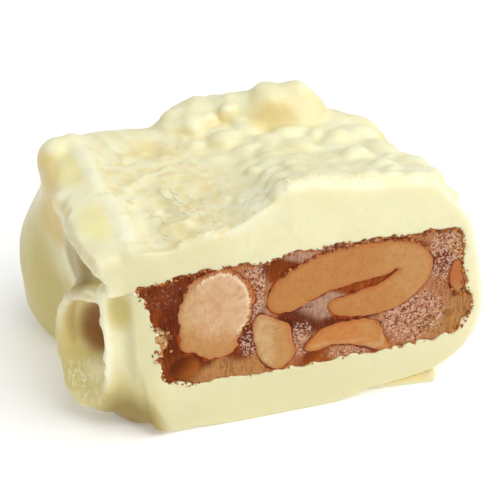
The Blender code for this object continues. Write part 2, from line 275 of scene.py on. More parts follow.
RIB_FOOT = (
    ((2.2, 0.5, 8.0), 1.3), ((3.6, 0.3, 5.4), 0.9), ((5.0, 0.1, 3.4), 0.8),
    ((6.0, 0.0, 2.0), 0.9),
)
CORNER_FILL = (
    ((1.5, -1.7, 21.0), 2.4), ((1.5, -1.7, 9.5), 2.2), ((2.0, -3.0, 1.2), 2.2),
)
CORNER_FOOT = ((3.4, -3.5, 3.4), (4.2, 3.2, 5.0), 1.2)
CURL_CHAINS = ((CURL_RING, 0.6), (CURL_FOOT, 0.9), (RIB_FOOT, 0.5), (CORNER_FILL, 0.4))
RIB_EDGE = ((4.1, 1.0, 16.5), (3.3, 1.0, 8.5))
GROOVE = (
    ((0.5, 2.0, 21.0), 2.05), ((0.45, 2.0, 12.0), 2.05), ((0.45, 2.0, 9.5), 2.1),
    ((0.5, 2.1, 7.0), 2.35), ((0.6, 2.2, 4.5), 2.8), ((0.7, 2.2, 2.0), 3.3),
    ((0.9, 2.1, -1.7), 4.0), ((1.0, 2.1, -4.0), 4.2),
)
GROOVE_TOP_Z = (
    (-5.0, 19.1), (-4.2, 19.0), (-3.6, 18.8), (-2.7, 18.7), (-2.3, 18.85), (-1.9, 19.0),
    (-1.4, 19.0),
)
GROOVE_LOW = (-9.0, -4.0, -4.0)
GROOVE_HIGH = (3.5, 8.0, 21.5)
COVE = ((-8.4, 4.6, 19.6), (4.6, 4.4, 2.5), 0.8)
COVE_TURN = math.radians(-25)

# The tongue at the front of the left rim: flat lobes with a broken left edge.
TONGUE = (
    ((-2.4, 12.0, 22.7), (4.4, 3.4, 1.45)),
    ((-2.4, 8.0, 22.55), (4.8, 5.6, 1.55)),
    ((-2.0, 2.6, 22.4), (4.2, 4.8, 1.5)),
)
TONGUE_CREST = (
    ((-0.7, 12.8, 23.4), 0.7), ((-0.6, 8.0, 23.35), 0.7), ((-1.0, 4.0, 23.2), 0.75),
    ((-1.0, 1.6, 22.9), 0.8),
)
TONGUE_TIP = (((-4.9, 13.2, 22.8), 0.9), ((-2.8, 13.6, 23.2), 0.8), ((-0.9, 13.0, 23.4), 0.8))
TONGUE_LOW = (-8.5, -3.0, 17.5)
TONGUE_HIGH = (2.5, 18.0, 26.5)
TONGUE_EDGE_X = (
    (-1, -4.9), (0, -5.1), (2, -5.6), (4, -5.95), (6, -6.3), (8.4, -6.6), (12.3, -6.1),
    (14, -5.6), (15, -4.6), (16, -3.0),
)
TONGUE_EDGE_Z = 22.5
TONGUE_UNDER_Z = ((-1, 18.8), (0.8, 18.8), (1.8, 20.2), (3, 21.3), (6, 21.8), (15, 22.0))

# A flat leaf of chocolate at the foot: its front line as x, y and its top line as x, z.
LEAF_FRONT = ((26.0, 1.4), (36.3, 0.2))
LEAF_TOP = ((26.0, -1.0), (36.3, 0.1))
LEAF_ENDS_X = (26.0, 36.2)
LEAF_BACK_Y = 6.0

# The coating's grid: where it reaches along x, y and z, its step, and the share of the
# faces that are kept.  The other pieces have a finer one, with a border round them.
COATING_SPAN = ((-12.5, 43.5), (-1.0, 37.0), (-3.2, 32.5))
COATING_STEP = 0.27
COATING_KEEP = 0.5
FINE_STEP = 0.17
FINE_BORDER = 0.8

# Loose shavings on the scraped part: middle, half sizes of the patch, how many, lengths,
# turn and how far the turns differ, in degrees.
SHAVINGS = (
    ((14.3, 3.2), (1.6, 2.2), 16, (0.5, 1.5), 40, 50),
    ((4.9, 4.6), (1.3, 0.5), 5, (0.8, 2.0), -10, 20),
    ((6.8, 0.9), (2.6, 0.3), 8, (0.5, 1.4), 5, 20),
    ((6.0, 9.2), (0.8, 3.4), 5, (1.2, 3.0), -78, 6),
    ((6.2, 7.6), (2.8, 4.0), 9, (1.6, 3.2), -62, 16),
    ((5.0, 11.0), (5.6, 9.0), 24, (0.4, 1.4), -60, 40),
    ((11.0, 0.8), (3.4, 0.4), 10, (0.4, 1.0), 12, 30),
    ((10.2, 6.0), (3.4, 3.6), 9, (0.4, 1.2), 30, 60),
    ((22.5, 1.6), (6.5, 0.9), 30, (0.4, 1.2), 10, 60),
    ((20.0, 8.0), (6.0, 6.0), 16, (0.4, 1.1), 30, 70),
)
SHAVING_SEED = 61
SHAVING_THICK = 0.15
# No chip lies where the top drops by more than this under it.
SHAVING_DROP = 0.6

# The colours in 0 to 255 values.
TONES = {
    "ivory": (252, 248, 224),
    "cream": (254, 249, 216),
    "dusk": (224, 217, 172),
    "butter": (251, 237, 164),
    "honey": (234, 212, 138),
    "gold": (224, 190, 84),
    "straw": (204, 186, 98),
    "khaki": (176, 150, 80),
    "umber": (160, 136, 68),
    "toffee": (172, 118, 56),
    "white": (244, 236, 208),
    "pale": (207, 171, 120),
    "tan": (194, 141, 80),
    "golden": (190, 128, 62),
    "orange": (200, 127, 56),
    "ginger": (182, 104, 46),
    "rust": (152, 70, 22),
    "red_brown": (125, 54, 18),
    "plum": (102, 39, 16),
    "wine": (96, 34, 14),
    "amber": (122, 58, 8),
    "rose": (186, 126, 86),
    # A painted sheen of the brittle's glaze.
    "lilac_sheen": (190, 150, 126),
    "sand": (187, 134, 80),
}
# Painted shade and highlight on the chocolate: centre, half sizes, how much and the tone.
PAINTED_SHADE_AND_LIGHT = (
    # Cream tones are painted highlights; the others are painted shade: warm on the shaded left wall, in
    # hollows and under overhangs, and greyer (dusk) low on the front and at its left.
    ((-8.5, 17.0, 4.5), (5.4, 17.0, 13.0), 0.84, "straw"),
    ((14.0, -0.5, -0.5), (34.0, 2.0, 9.0), 0.95, "dusk"),
    ((-0.6, 0.0, 12.0), (2.8, 1.2, 12.0), 0.95, "dusk"),
    ((2.0, 0.0, 22.0), (10.0, 1.4, 4.0), 0.6, "dusk"),
    ((14.4, 3.2, 26.4), (3.0, 3.4, 2.6), 0.9, "cream"),
    ((-3.9, 20.4, 23.8), (1.9, 4.6, 1.2), 0.7, "butter"),
    ((-5.8, 23.0, 22.2), (1.3, 5.0, 2.2), 0.8, "honey"),
    ((-6.8, 19.0, 19.0), (2.6, 5.6, 3.6), 0.8, "gold"),
    ((6.5, 23.7, 23.6), (2.8, 2.4, 2.0), 0.45, "honey"),
    ((-3.4, 8.0, 24.0), (2.2, 4.6, 1.4), 0.6, "butter"),
    ((-0.6, 8.0, 24.0), (1.5, 7.0, 1.8), 0.9, "cream"),
    ((-1.4, 19.5, 24.6), (1.1, 7.5, 1.6), 0.8, "cream"),
    ((2.2, 9.0, 23.2), (1.6, 7.0, 1.4), 0.6, "cream"),
    ((-5.4, 7.6, 21.9), (1.2, 5.6, 0.9), 0.7, "honey"),
    ((34.5, 19.0, 23.0), (1.6, 3.0, 2.0), 0.8, "honey"),
    ((22.5, 22.6, 26.0), (3.6, 2.2, 2.6), 0.6, "honey"),
    ((6.5, 11.0, 23.6), (8.0, 12.0, 2.4), 0.15, "honey"),
    ((8.6, 30.5, 23.0), (3.0, 2.0, 2.0), 0.35, "honey"),
    ((37.0, 14.0, 22.0), (2.2, 5.0, 3.0), 0.4, "honey"),
    ((33.0, 1.2, -0.6), (4.0, 1.4, 0.9), 0.8, "honey"),
    ((-5.8, 8.6, 17.8), (3.0, 5.4, 3.2), 0.85, "khaki"),
    ((-2.2, 2.2, 16.6), (2.2, 2.4, 3.2), 0.85, "straw"),
)
# The same painted shade for places on the corner's plane: warm in the curl and its hollow, and darkest
# low on its fan.
CORNER_PAINTED_SHADE_AND_LIGHT = (
    ((6.4, 1.2, 5.6), (3.0, 2.0, 5.0), 0.35, "straw"),
    ((8.2, -0.4, 11.6), (2.6, 2.2, 4.6), 0.6, "honey"),
    ((6.6, -2.6, 10.8), (2.7, 2.6, 3.8), 1.0, "toffee"),
    ((2.8, -0.8, 1.0), (5.2, 3.4, 7.4), 0.7, "straw"),
    ((2.6, -1.2, -1.6), (5.6, 3.6, 6.4), 1.0, "umber"),
)
# How the cut flesh of each nut is coloured: x, z, half sizes, tone.
FLESH = {
    "cashew_round": (
        (8.6, 15.6, 4.0, 4.0, "pale"),
        (7.0, 10.8, 3.6, 2.4, "tan"),
        (12.3, 17.2, 0.9, 2.4, "orange"),
        (8.4, 12.2, 1.8, 1.0, "golden"),
    ),
    "cashew_hairpin": (
        (20.0, 16.6, 6.0, 3.6, "golden"),
        (32.2, 16.0, 3.0, 3.8, "tan"),
        (25.6, 12.6, 4.0, 2.0, "golden"),
    ),
    "cashew_small": (
        (14.0, 9.4, 1.3, 3.4, "pale"),
        (16.4, 8.8, 1.4, 3.4, "tan"),
    ),
    "cashew_crescent": (
        (23.0, 8.0, 5.0, 2.2, "orange"),
        (26.8, 8.6, 1.4, 1.0, "tan"),
        (21.2, 7.3, 1.4, 0.35, "pale"),
        (24.4, 7.0, 1.8, 0.35, "pale"),
        (27.0, 5.9, 1.0, 0.4, "pale"),
        (28.7, 7.2, 0.22, 1.1, "pale"),
    ),
    "cashew_right": (
        (37.8, 14.2, 1.4, 2.0, "ginger"),
        (38.3, 11.8, 0.9, 0.8, "sand"),
    ),
    "cashew_left": (
        (1.7, 12.6, 1.0, 1.0, "pale"),
        (2.2, 11.0, 1.0, 1.0, "golden"),
        (1.5, 9.8, 0.8, 0.8, "pale"),
    ),
}
# The pale disc in the round nut: its middle and half sizes.
PALE_DISC = (8.5, 14.8, 3.7, 4.9)
# How the brittle is coloured on the cut: x, z, half sizes, tone. The pale mauve zones are a painted
# sheen.
CARAMEL = (
    (1.2, 17.8, 2.8, 2.2, "red_brown"),
    (3.4, 14.4, 1.2, 4.0, "plum"),
    (0.8, 15.2, 0.7, 1.4, "rust"),
    (4.3, 7.7, 1.9, 1.8, "amber"),
    (2.4, 6.6, 1.0, 1.2, "red_brown"),
    (6.2, 8.0, 1.2, 0.8, "plum"),
    (9.4, 6.1, 3.6, 1.2, "sand"),
    (11.0, 8.2, 1.0, 1.0, "red_brown"),
    (12.8, 17.0, 1.2, 3.4, "rose"),
    (13.2, 13.6, 0.8, 1.4, "lilac_sheen"),
    (12.0, 10.4, 0.7, 1.6, "plum"),
    (15.0, 19.0, 1.5, 1.1, "red_brown"),
    (17.7, 20.3, 1.2, 0.5, "lilac_sheen"),
    (20.6, 12.6, 1.7, 1.1, "lilac_sheen"),
    (18.6, 11.0, 1.4, 1.4, "wine"),
    (18.4, 8.0, 1.1, 1.8, "rose"),
    (20.2, 5.7, 1.6, 0.9, "rust"),
    (24.0, 5.9, 2.0, 0.7, "rose"),
    (27.0, 14.9, 2.6, 0.6, "rust"),
    (25.0, 10.6, 2.6, 0.5, "plum"),
    (31.4, 8.4, 3.0, 3.0, "rose"),
    (35.4, 7.4, 2.8, 1.2, "sand"),
    (35.8, 12.6, 1.4, 2.4, "rose"),
    (36.0, 15.8, 0.8, 1.4, "red_brown"),
    (34.8, 19.2, 1.8, 1.2, "rose"),
    (37.4, 18.4, 0.9, 1.4, "sand"),
    (38.8, 9.2, 1.0, 2.0, "sand"),
)
# Where painted glints, as pale specks, and dark pits show in the brittle: x, z, half sizes, share.
SPECKLED = (
    (12.8, 17.0, 1.4, 4.0, 1.0),
    (12.4, 9.4, 1.6, 2.4, 0.7),
    (18.4, 8.8, 1.5, 2.6, 0.9),
    (20.4, 12.6, 2.4, 1.3, 0.3),
    (24.2, 5.7, 3.6, 0.9, 0.6),
    (24.0, 20.8, 9.0, 0.6, 1.0),
    (32.4, 9.0, 4.6, 4.0, 0.8),
    (36.4, 17.0, 2.6, 4.4, 0.85),
    (2.0, 18.0, 3.0, 2.4, 0.35),
)
# Smooth drops of caramel in the cut face: x, z, half sizes, depth below the cut in the
# middle and at the border, and how clear they are.
DROPS = (
    (4.4, 7.6, 1.9, 1.5, 0.05, 0.26, 0.9),
    (20.2, 5.7, 1.6, 1.0, 0.4, 0.2, 0.6),
    (15.0, 19.0, 1.7, 1.2, 0.4, 0.2, 0.25),
    (34.7, 8.2, 0.9, 0.45, 0.35, 0.2, 0.5),
    (36.9, 8.2, 0.7, 0.45, 0.35, 0.2, 0.5),
)
# Crumbs at the borders: the outline they follow, between which corners in x and z, how
# many, how far they stray, their half sizes and tones.
CRUMBS = (
    (SLAB_OUTLINE, (-1.5, 12.5), (3.2, 21.0), 60, 0.12, (0.1, 0.26), "rust orange white"),
    (SLAB_OUTLINE, (1.0, 5.0), (12.0, 12.4), 44, 0.12, (0.08, 0.2), "rust orange white"),
    (SLAB_OUTLINE, (3.2, 19.0), (37.0, 22.0), 110, 0.1, (0.09, 0.26), "red_brown rust orange"),
    (SLAB_OUTLINE, (37.0, 5.0), (41.0, 21.0), 64, 0.12, (0.1, 0.3), "orange golden sand rust"),
    (SLAB_OUTLINE, (12.0, 4.0), (37.0, 6.5), 30, 0.06, (0.08, 0.16), "sand orange golden"),
    (NUTS["cashew_hairpin"], (14.5, 17.5), (34.0, 21.0), 100, 0.1, (0.08, 0.24), "red_brown rust orange"),
    (NUTS["cashew_right"], (36.0, 10.0), (39.5, 12.0), 12, 0.3, (0.15, 0.34), "rust orange"),
    (NUTS["cashew_left"], (0.5, 9.0), (3.2, 14.0), 9, 0.2, (0.22, 0.42), "tan pale rust"),
    (NUTS["cashew_crescent"], (27.8, 5.0), (30.5, 9.5), 14, 0.12, (0.1, 0.22), "rust orange"),
    (NUTS["cashew_round"], (10.0, 8.0), (13.5, 20.0), 26, 0.1, (0.08, 0.2), "rust orange"),
    (NUTS["cashew_round"], (3.5, 17.0), (11.0, 20.5), 30, 0.12, (0.08, 0.2), "rust red_brown orange"),
)
CRUMB_SEED = 71

# The camera and the lights, in metres in the row frame.
LENS = 106.56
SENSOR = 36.0
CAMERA_PLACE = Vector((-0.045612, -0.149553, 0.110389))
CAMERA_RIGHT = Vector((0.95372, -0.30071, 0.0))
CAMERA_UP = Vector((0.15935, 0.50539, 0.84805))
WORLD_COLOUR = (1.0, 1.0, 0.985, 1.0)
WORLD_POWER = 0.42
SUN_TOWARDS = (0.26, -0.36, 0.88)
SUN_POWER = 1.8
SUN_ANGLE = math.radians(50)
SIDE_PLACE = (0.15, -0.12, 0.11)
SIDE_POWER = 0.06
SIDE_SIZE = 0.1
FLOOR_HALF = 3.0
FLOOR_GLOW = 0.2


def ramp(low, high, value):
    """A smooth rise from 0 at low to 1 at high, which may be the smaller of the two."""
    t = np.clip((value - low) / (high - low), 0, 1)
    return t * t * (3 - 2 * t)


def follow(points, at):
    """The height at each place of a smooth curve through the points."""
    xs, ys = np.array(points, float).T
    slopes = np.gradient(ys, xs)
    k = np.clip(np.searchsorted(xs, at) - 1, 0, len(xs) - 2)
    width = xs[k + 1] - xs[k]
    t = np.clip((at - xs[k]) / width, 0, 1)
    near = (2 * t**3 - 3 * t**2 + 1) * ys[k] + (t**3 - 2 * t**2 + t) * width * slopes[k]
    far = (3 * t**2 - 2 * t**3) * ys[k + 1] + (t**3 - t**2) * width * slopes[k + 1]
    return near + far


def nearest(axis, at):
    """Where each value falls on an axis."""
    return np.clip(np.searchsorted(axis, at), 0, len(axis) - 1)


def soft_min(a, b, blend):
    h = np.clip(0.5 + 0.5 * (b - a) / blend, 0, 1)
    return b + (a - b) * h - blend * h * (1 - h)


def soft_max(a, b, blend):
    return -soft_min(-a, -b, blend)


def round_max(a, b, radius):
    """Where both are inside, with the edge between them rounded to the radius."""
    out_a = np.maximum(a + radius, 0)
    out_b = np.maximum(b + radius, 0)
    return np.minimum(np.maximum(a, b), -radius) + np.sqrt(out_a**2 + out_b**2)


def turned(x, y, turn):
    """Places along and across a direction."""
    return x * math.cos(turn) + y * math.sin(turn), y * math.cos(turn) - x * math.sin(turn)


def on_corner(place):
    """The point at a place on the corner's diagonal plane."""
    along, out, height = place
    x, y = turned(along, out, -CORNER_TURN)
    return (CORNER_X + x, CUT_Y + y, height)


def corner_chain(stations):
    return [(on_corner(place), radius) for place, radius in stations]


def ellipsoid(x, y, z, centre, half, turn=0.0):
    along, across = turned(x - centre[0], y - centre[1], turn)
    dz = z - centre[2]
    scaled = np.sqrt((along / half[0]) ** 2 + (across / half[1]) ** 2 + (dz / half[2]) ** 2)
    steep = np.sqrt(
        (along / half[0] ** 2) ** 2 + (across / half[1] ** 2) ** 2 + (dz / half[2] ** 2) ** 2
    )
    return (scaled + 1e-3) * (scaled - 1) / (steep + 1e-3 / min(half))


def capsule(x, y, z, here, here_radius, there, there_radius):
    run = np.subtract(there, here)
    dx, dy, dz = x - here[0], y - here[1], z - here[2]
    t = np.clip((dx * run[0] + dy * run[1] + dz * run[2]) / run.dot(run), 0, 1)
    gap = np.sqrt((dx - run[0] * t) ** 2 + (dy - run[1] * t) ** 2 + (dz - run[2] * t) ** 2)
    return gap - (here_radius + (there_radius - here_radius) * t)


def segment(x, y, start, end):
    """How far each place is from a line."""
    run_x, run_y = end[0] - start[0], end[1] - start[1]
    t = np.clip(((x - start[0]) * run_x + (y - start[1]) * run_y) / (run_x**2 + run_y**2), 0, 1)
    return np.hypot(x - start[0] - run_x * t, y - start[1] - run_y * t)


def closed_curve(points, steps=8):
    """Points of a smooth closed curve through the given ones."""
    p = np.array(points, float)
    before, after, next_after = np.roll(p, 1, 0), np.roll(p, -1, 0), np.roll(p, -2, 0)
    bend = 2 * before - 5 * p + 4 * after - next_after
    twist = -before + 3 * p - 3 * after + next_after
    found = []
    for t in np.arange(steps) / steps:
        found.append(0.5 * (2 * p + (after - before) * t + bend * t**2 + twist * t**3))
    return np.stack(found, axis=1).reshape(-1, 2)


def outline_distance(outline, xs, zs):
    """The signed distance on an x, z grid from the smooth curve through an outline."""
    loop = closed_curve(outline)
    x, z = np.ix_(xs, zs)
    closest = np.full((len(xs), len(zs)), FAR * FAR)
    inside = np.zeros((len(xs), len(zs)), bool)
    for (ax, az), (bx, bz) in zip(loop, np.roll(loop, -1, 0)):
        run_x, run_z = bx - ax, bz - az
        t = np.clip(((x - ax) * run_x + (z - az) * run_z) / (run_x**2 + run_z**2), 0, 1)
        closest = np.minimum(closest, (x - ax - run_x * t) ** 2 + (z - az - run_z * t) ** 2)
        if az != bz:
            inside ^= ((az > z) != (bz > z)) & (x < run_x * (z - az) / run_z + ax)
    return np.where(inside, -1, 1) * np.sqrt(closest)


def noise(axes, size, seed):
    """Smooth random values on a grid, about one either way, with lumps of a size."""
    sizes = size if isinstance(size, tuple) else (size,) * len(axes)
    random = np.random.default_rng(seed)
    weights = []
    for axis, size in zip(axes, sizes):
        place = (axis - axis[0]) / size
        cell = np.floor(place).astype(int)
        t = place - cell
        table = np.zeros((len(axis), cell[-1] + 4), np.float32)
        rows = np.arange(len(axis))
        table[rows, cell] = (1 - t) ** 3 / 6
        table[rows, cell + 1] = (3 * t**3 - 6 * t**2 + 4) / 6
        table[rows, cell + 2] = (-3 * t**3 + 3 * t**2 + 3 * t + 1) / 6
        table[rows, cell + 3] = t**3 / 6
        weights.append(table)
    values = random.normal(size=[table.shape[1] for table in weights]).astype(np.float32)
    for table in weights:
        values = np.tensordot(values, table, axes=(0, 1))
    return values / 0.69 ** len(axes)


def noise_at_cut(xs, zs, size, seed):
    """Noise over the cut that is the same on every grid."""
    axes = [np.arange(*span, CUT_NOISE_STEP) for span in CUT_NOISE_SPAN]
    values = noise(axes, size, seed)
    cells, shares = [], []
    for axis, (low, _), at in zip(axes, CUT_NOISE_SPAN, (xs, zs)):
        place = np.clip((at - low) / CUT_NOISE_STEP, 0, len(axis) - 2)
        cells.append(place.astype(int))
        shares.append(place - cells[-1])
    i, k = cells
    across, up = np.ix_(*shares)
    low = values[np.ix_(i, k)] * (1 - across) + values[np.ix_(i + 1, k)] * across
    high = values[np.ix_(i, k + 1)] * (1 - across) + values[np.ix_(i + 1, k + 1)] * across
    return low * (1 - up) + high * up


class Field:
    """A signed distance on a grid whose steps may differ from place to place."""

    def __init__(self, *axes):
        self.axes = [np.asarray(axis, np.float32) for axis in axes]
        self.value = np.full([len(axis) for axis in self.axes], FAR, np.float32)

    def window(self, low, high):
        """The grid's part between two corners, and the places in it."""
        part = []
        for axis, bottom, top in zip(self.axes, low, high):
            part.append(slice(*np.searchsorted(axis, (bottom, top))))
        places = np.ix_(*[axis[piece] for axis, piece in zip(self.axes, part)])
        return tuple(part), *places

    def join(self, part, shape, blend, hollow=False):
        """Adds a shape to a part of the grid, or takes it out."""
        if hollow:
            self.value[part] = soft_max(self.value[part], -shape, blend)
        else:
            self.value[part] = soft_min(self.value[part], shape, blend)

    def lump(self, centre, half, blend, turn=0.0, hollow=False, rough=None):
        """Adds an ellipsoid to the field, or takes it out."""
        reach = max(half) + blend + 1.5
        part, x, y, z = self.window(np.subtract(centre, reach), np.add(centre, reach))
        shape = ellipsoid(x, y, z, centre, half, turn)
        if rough is not None:
            shape = shape + rough[part]
        self.join(part, shape, blend, hollow)

    def corner_lump(self, place, half, blend, turn=0.0, **settings):
        """A lump on the corner's plane."""
        self.lump(on_corner(place), half, blend, CORNER_TURN + turn, **settings)

    def chain(self, stations, blend, hollow=False):
        """Adds balls joined by tapered lengths, or takes them out."""
        for start, end in zip(stations, stations[1:]):
            reach = max(start[1], end[1]) + blend + 1.5
            low = np.minimum(start[0], end[0]) - reach
            high = np.maximum(start[0], end[0]) + reach
            part, x, y, z = self.window(low, high)
            self.join(part, capsule(x, y, z, *start, *end), blend, hollow)

    def highest(self):
        """The height of the surface over each place."""
        inside = self.value < 0
        last = inside.shape[2] - 1 - np.argmax(inside[:, :, ::-1], axis=2)
        last = np.minimum(last, inside.shape[2] - 2)
        i, j = np.indices(last.shape)
        here, above = self.value[i, j, last], self.value[i, j, last + 1]
        share = here / np.minimum(here - above, -1e-6)
        zs = self.axes[2]
        return np.where(inside.any(axis=2), zs[last] + share * (zs[last + 1] - zs[last]), FLOOR_Z)

    def at(self, points, values):
        """Values on the grid, read at points between its places."""
        lows, shares = [], []
        for axis, at in zip(self.axes, points.T):
            k = np.clip(np.searchsorted(axis, at) - 1, 0, len(axis) - 2)
            lows.append(k)
            shares.append(np.clip((at - axis[k]) / (axis[k + 1] - axis[k]), 0, 1))
        total = np.zeros(len(points))
        for corner in np.ndindex(2, 2, 2):
            weight = np.ones(len(points))
            for far, share in zip(corner, shares):
                weight *= share if far else 1 - share
            total += weight * values[tuple(np.add(lows, np.array(corner)[:, None]))]
        return total


def skin(field):
    """The points and four-sided faces of the surface where a field is zero."""
    value = field.value
    cells = [count - 1 for count in value.shape]
    strides = (cells[1] * cells[2], cells[2], 1)
    size = math.prod(cells)
    count = np.zeros(size)
    total = np.zeros((3, size))
    faces = []
    for axis in range(3):
        near = np.moveaxis(value, axis, 0)[:-1]
        far = np.moveaxis(value, axis, 0)[1:]
        found = np.nonzero((near < 0) != (far < 0))
        inside, outside = near[found], far[found]
        place = list(found[1:])
        place.insert(axis, found[0])
        share = inside / (inside - outside)
        point = [field.axes[d][place[d]].astype(float) for d in range(3)]
        span = field.axes[axis][place[axis] + 1] - field.axes[axis][place[axis]]
        point[axis] = point[axis] + share * span
        u, v = (axis + 1) % 3, (axis + 2) % 3
        flat = sum(place[d] * strides[d] for d in range(3))
        ring = [flat - strides[u] - strides[v], flat - strides[v], flat, flat - strides[u]]
        for cell in ring:
            count += np.bincount(cell, minlength=size)
            for d in range(3):
                total[d] += np.bincount(cell, weights=point[d], minlength=size)
        face = np.stack(ring, axis=1)
        falling = inside > 0
        face[falling] = face[falling][:, ::-1]
        faces.append(face)
    used = count > 0
    number = np.cumsum(used) - 1
    return (total[:, used] / count[used]).T, number[np.concatenate(faces)]


def to_row(points):
    return (np.asarray(points) - ORIGIN) * MM


def placed(name, data):
    """A new object in the scene."""
    made = bpy.data.objects.new(name, data)
    bpy.context.scene.collection.objects.link(made)
    return made


def shade_smooth(mesh):
    mesh.polygons.foreach_set("use_smooth", np.ones(len(mesh.polygons), bool))


def mesh_object(name, points, faces):
    """A smooth object of points in mm, and of faces that all have as many corners."""
    mesh = bpy.data.meshes.new(name)
    mesh.vertices.add(len(points))
    mesh.vertices.foreach_set("co", to_row(points).astype(np.float32).ravel())
    mesh.loops.add(faces.size)
    mesh.loops.foreach_set("vertex_index", faces.astype(np.int32).ravel())
    mesh.polygons.add(len(faces))
    starts = np.arange(0, faces.size, faces.shape[1], dtype=np.int32)
    mesh.polygons.foreach_set("loop_start", starts)
    mesh.update(calc_edges=True)
    mesh.validate()
    shade_smooth(mesh)
    return placed(name, mesh)


def thin_out(made, keep):
    """Drops the points that a flat part doesn't need."""
    reduce = made.modifiers.new("Thin out", "DECIMATE")
    reduce.ratio = keep
    graph = bpy.context.evaluated_depsgraph_get()
    mesh = bpy.data.meshes.new_from_object(made.evaluated_get(graph))
    made.modifiers.remove(reduce)
    full = made.data
    made.data = mesh
    bpy.data.meshes.remove(full)
    shade_smooth(mesh)


def points_of(made):
    """The object's points in mm."""
    found = np.zeros(len(made.data.vertices) * 3, np.float32)
    made.data.vertices.foreach_get("co", found)
    return found.reshape(-1, 3) / MM + ORIGIN


def give_values(made, **named):
    """Stores values for each point, which the material reads."""
    for name, values in named.items():
        layer = made.data.attributes.new(name, "FLOAT", "POINT")
        layer.data.foreach_set("value", np.asarray(values, np.float32))


def give_colours(made, **named):
    for name, colours in named.items():
        layer = made.data.attributes.new(name, "FLOAT_COLOR", "POINT")
        full = np.ones((len(colours), 4), np.float32)
        full[:, :3] = colours
        layer.data.foreach_set("color", full.ravel())


def rgb(tone):
    """A tone, or a colour in 0 to 255 values, as shaders take it."""
    values = np.array(TONES.get(tone, tone)) / 255
    return tuple(((values + 0.055) / 1.055) ** 2.4)


def top_heights(xs, ys):
    """The height of the top without its lumps, and how scraped it is."""
    x, y = np.ix_(xs, ys)
    base = LOW_TOP + (HIGH_TOP - LOW_TOP) * ramp(8, 20, x + 0 * y)
    ragged = 0.25 * noise((xs, ys), 1.1, 11)
    reach = 0.3 + 2.4 * ramp(4, 9, y)
    step = ramp(-1, 1, (x - STEP_X - STEP_LEAN * y + ragged) / reach)
    high = base + (follow(RIDGE_RIGHT, x) - HIGH_TOP) * follow(RIDGE_RIGHT_FALL, y)
    low = base + (follow(RIDGE_LEFT, x) - LOW_TOP) * follow(RIDGE_LEFT_FALL, y)
    top = low + (high - low) * step
    scraped = (1 - ramp(13, 17, x + 0.1 * y)) * (1 - ramp(22, 29, y))
    scraped = scraped * ramp(-2.4, -0.6, x + 0.02 * y)
    for start, end, half, height in RIDGES:
        top = top + height * np.exp(-((segment(x, y, start, end) / half) ** 2))
    for (at_x, at_y), (half_x, half_y), depth in HOLLOWS:
        top = top - depth * np.exp(-(((x - at_x) / half_x) ** 2) - ((y - at_y) / half_y) ** 2)
    random = np.random.default_rng(SCRATCH_SEED)
    for _ in range(SCRATCH_COUNT):
        start = random.uniform(SCRATCH_LOW, SCRATCH_HIGH)
        turn = random.normal(SCRATCH_TURN, SCRATCH_SPREAD)
        length = random.uniform(*SCRATCH_LENGTH)
        end = start + length * np.array((math.cos(turn), math.sin(turn)))
        height = random.normal(0, SCRATCH_HEIGHT)
        gap = segment(x, y, start, end) / random.uniform(*SCRATCH_HALF)
        top = top + scraped * height * np.exp(-(gap**2))
    return top + scraped * 0.05 * noise((xs, ys), 0.9, 12), scraped


def slab_distance(field, outline_grow=0.0):
    """How far each place is outside the slab of brittle."""
    xs, ys, zs = field.axes
    x, y, z = np.ix_(xs, ys, zs)
    outline = outline_distance(SLAB_OUTLINE, xs, zs)
    outline = outline + 0.13 * noise_at_cut(xs, zs, 0.7, 21) + 0.1 * noise_at_cut(xs, zs, 0.35, 22)
    right = follow(SLAB_RIGHT, y) - SLAB_LEAN * (z - SLAB_MIDDLE_Z)
    ends = round_max(x - right, follow(SLAB_LEFT, y) - x, 1.0)
    deep = round_max(ends, np.maximum(z - SLAB_TOP_Z, SLAB_FOOT_Z - z), 2.2)
    into = ramp(0, 5, y)
    near = outline[:, None, :] * (1 - into) + deep * into
    return round_max(near - outline_grow, y - SLAB_BACK_Y, 3.0)


def body(field, top):
    """The square's body: the outline of the cut in front, and low sides behind it."""
    xs, ys, zs = field.axes
    x, y, z = np.ix_(xs, ys, zs)
    slope = np.hypot(*np.gradient(top, COATING_STEP))
    above = (z - top[:, :, None]) / np.sqrt(1 + np.minimum(slope, 1.2) ** 2)[:, :, None]
    height = z / TOP_CORNER_Z
    right = x - follow(RIGHT_FOOT, y) * (1 - height) - follow(RIGHT_TOP, y) * height
    left = follow(LEFT_FOOT, y) * (1 - height) + follow(LEFT_TOP, y) * height - x
    low_sides = round_max(np.maximum(right, left), FLOOR_Z - 0.4 - z, FOOT_ROUND)
    into = ramp(0.2, 5.5, y)
    sides = outline_distance(CUT_OUTLINE, xs, zs)[:, None, :] * (1 - into) + low_sides * into
    radius = np.where(x > MIDDLE_X, follow(RIGHT_TOP_ROUND, y), follow(LEFT_TOP_ROUND, y))
    return round_max(round_max(sides, above, radius), y - BACK_Y + 0.2, BACK_ROUND)


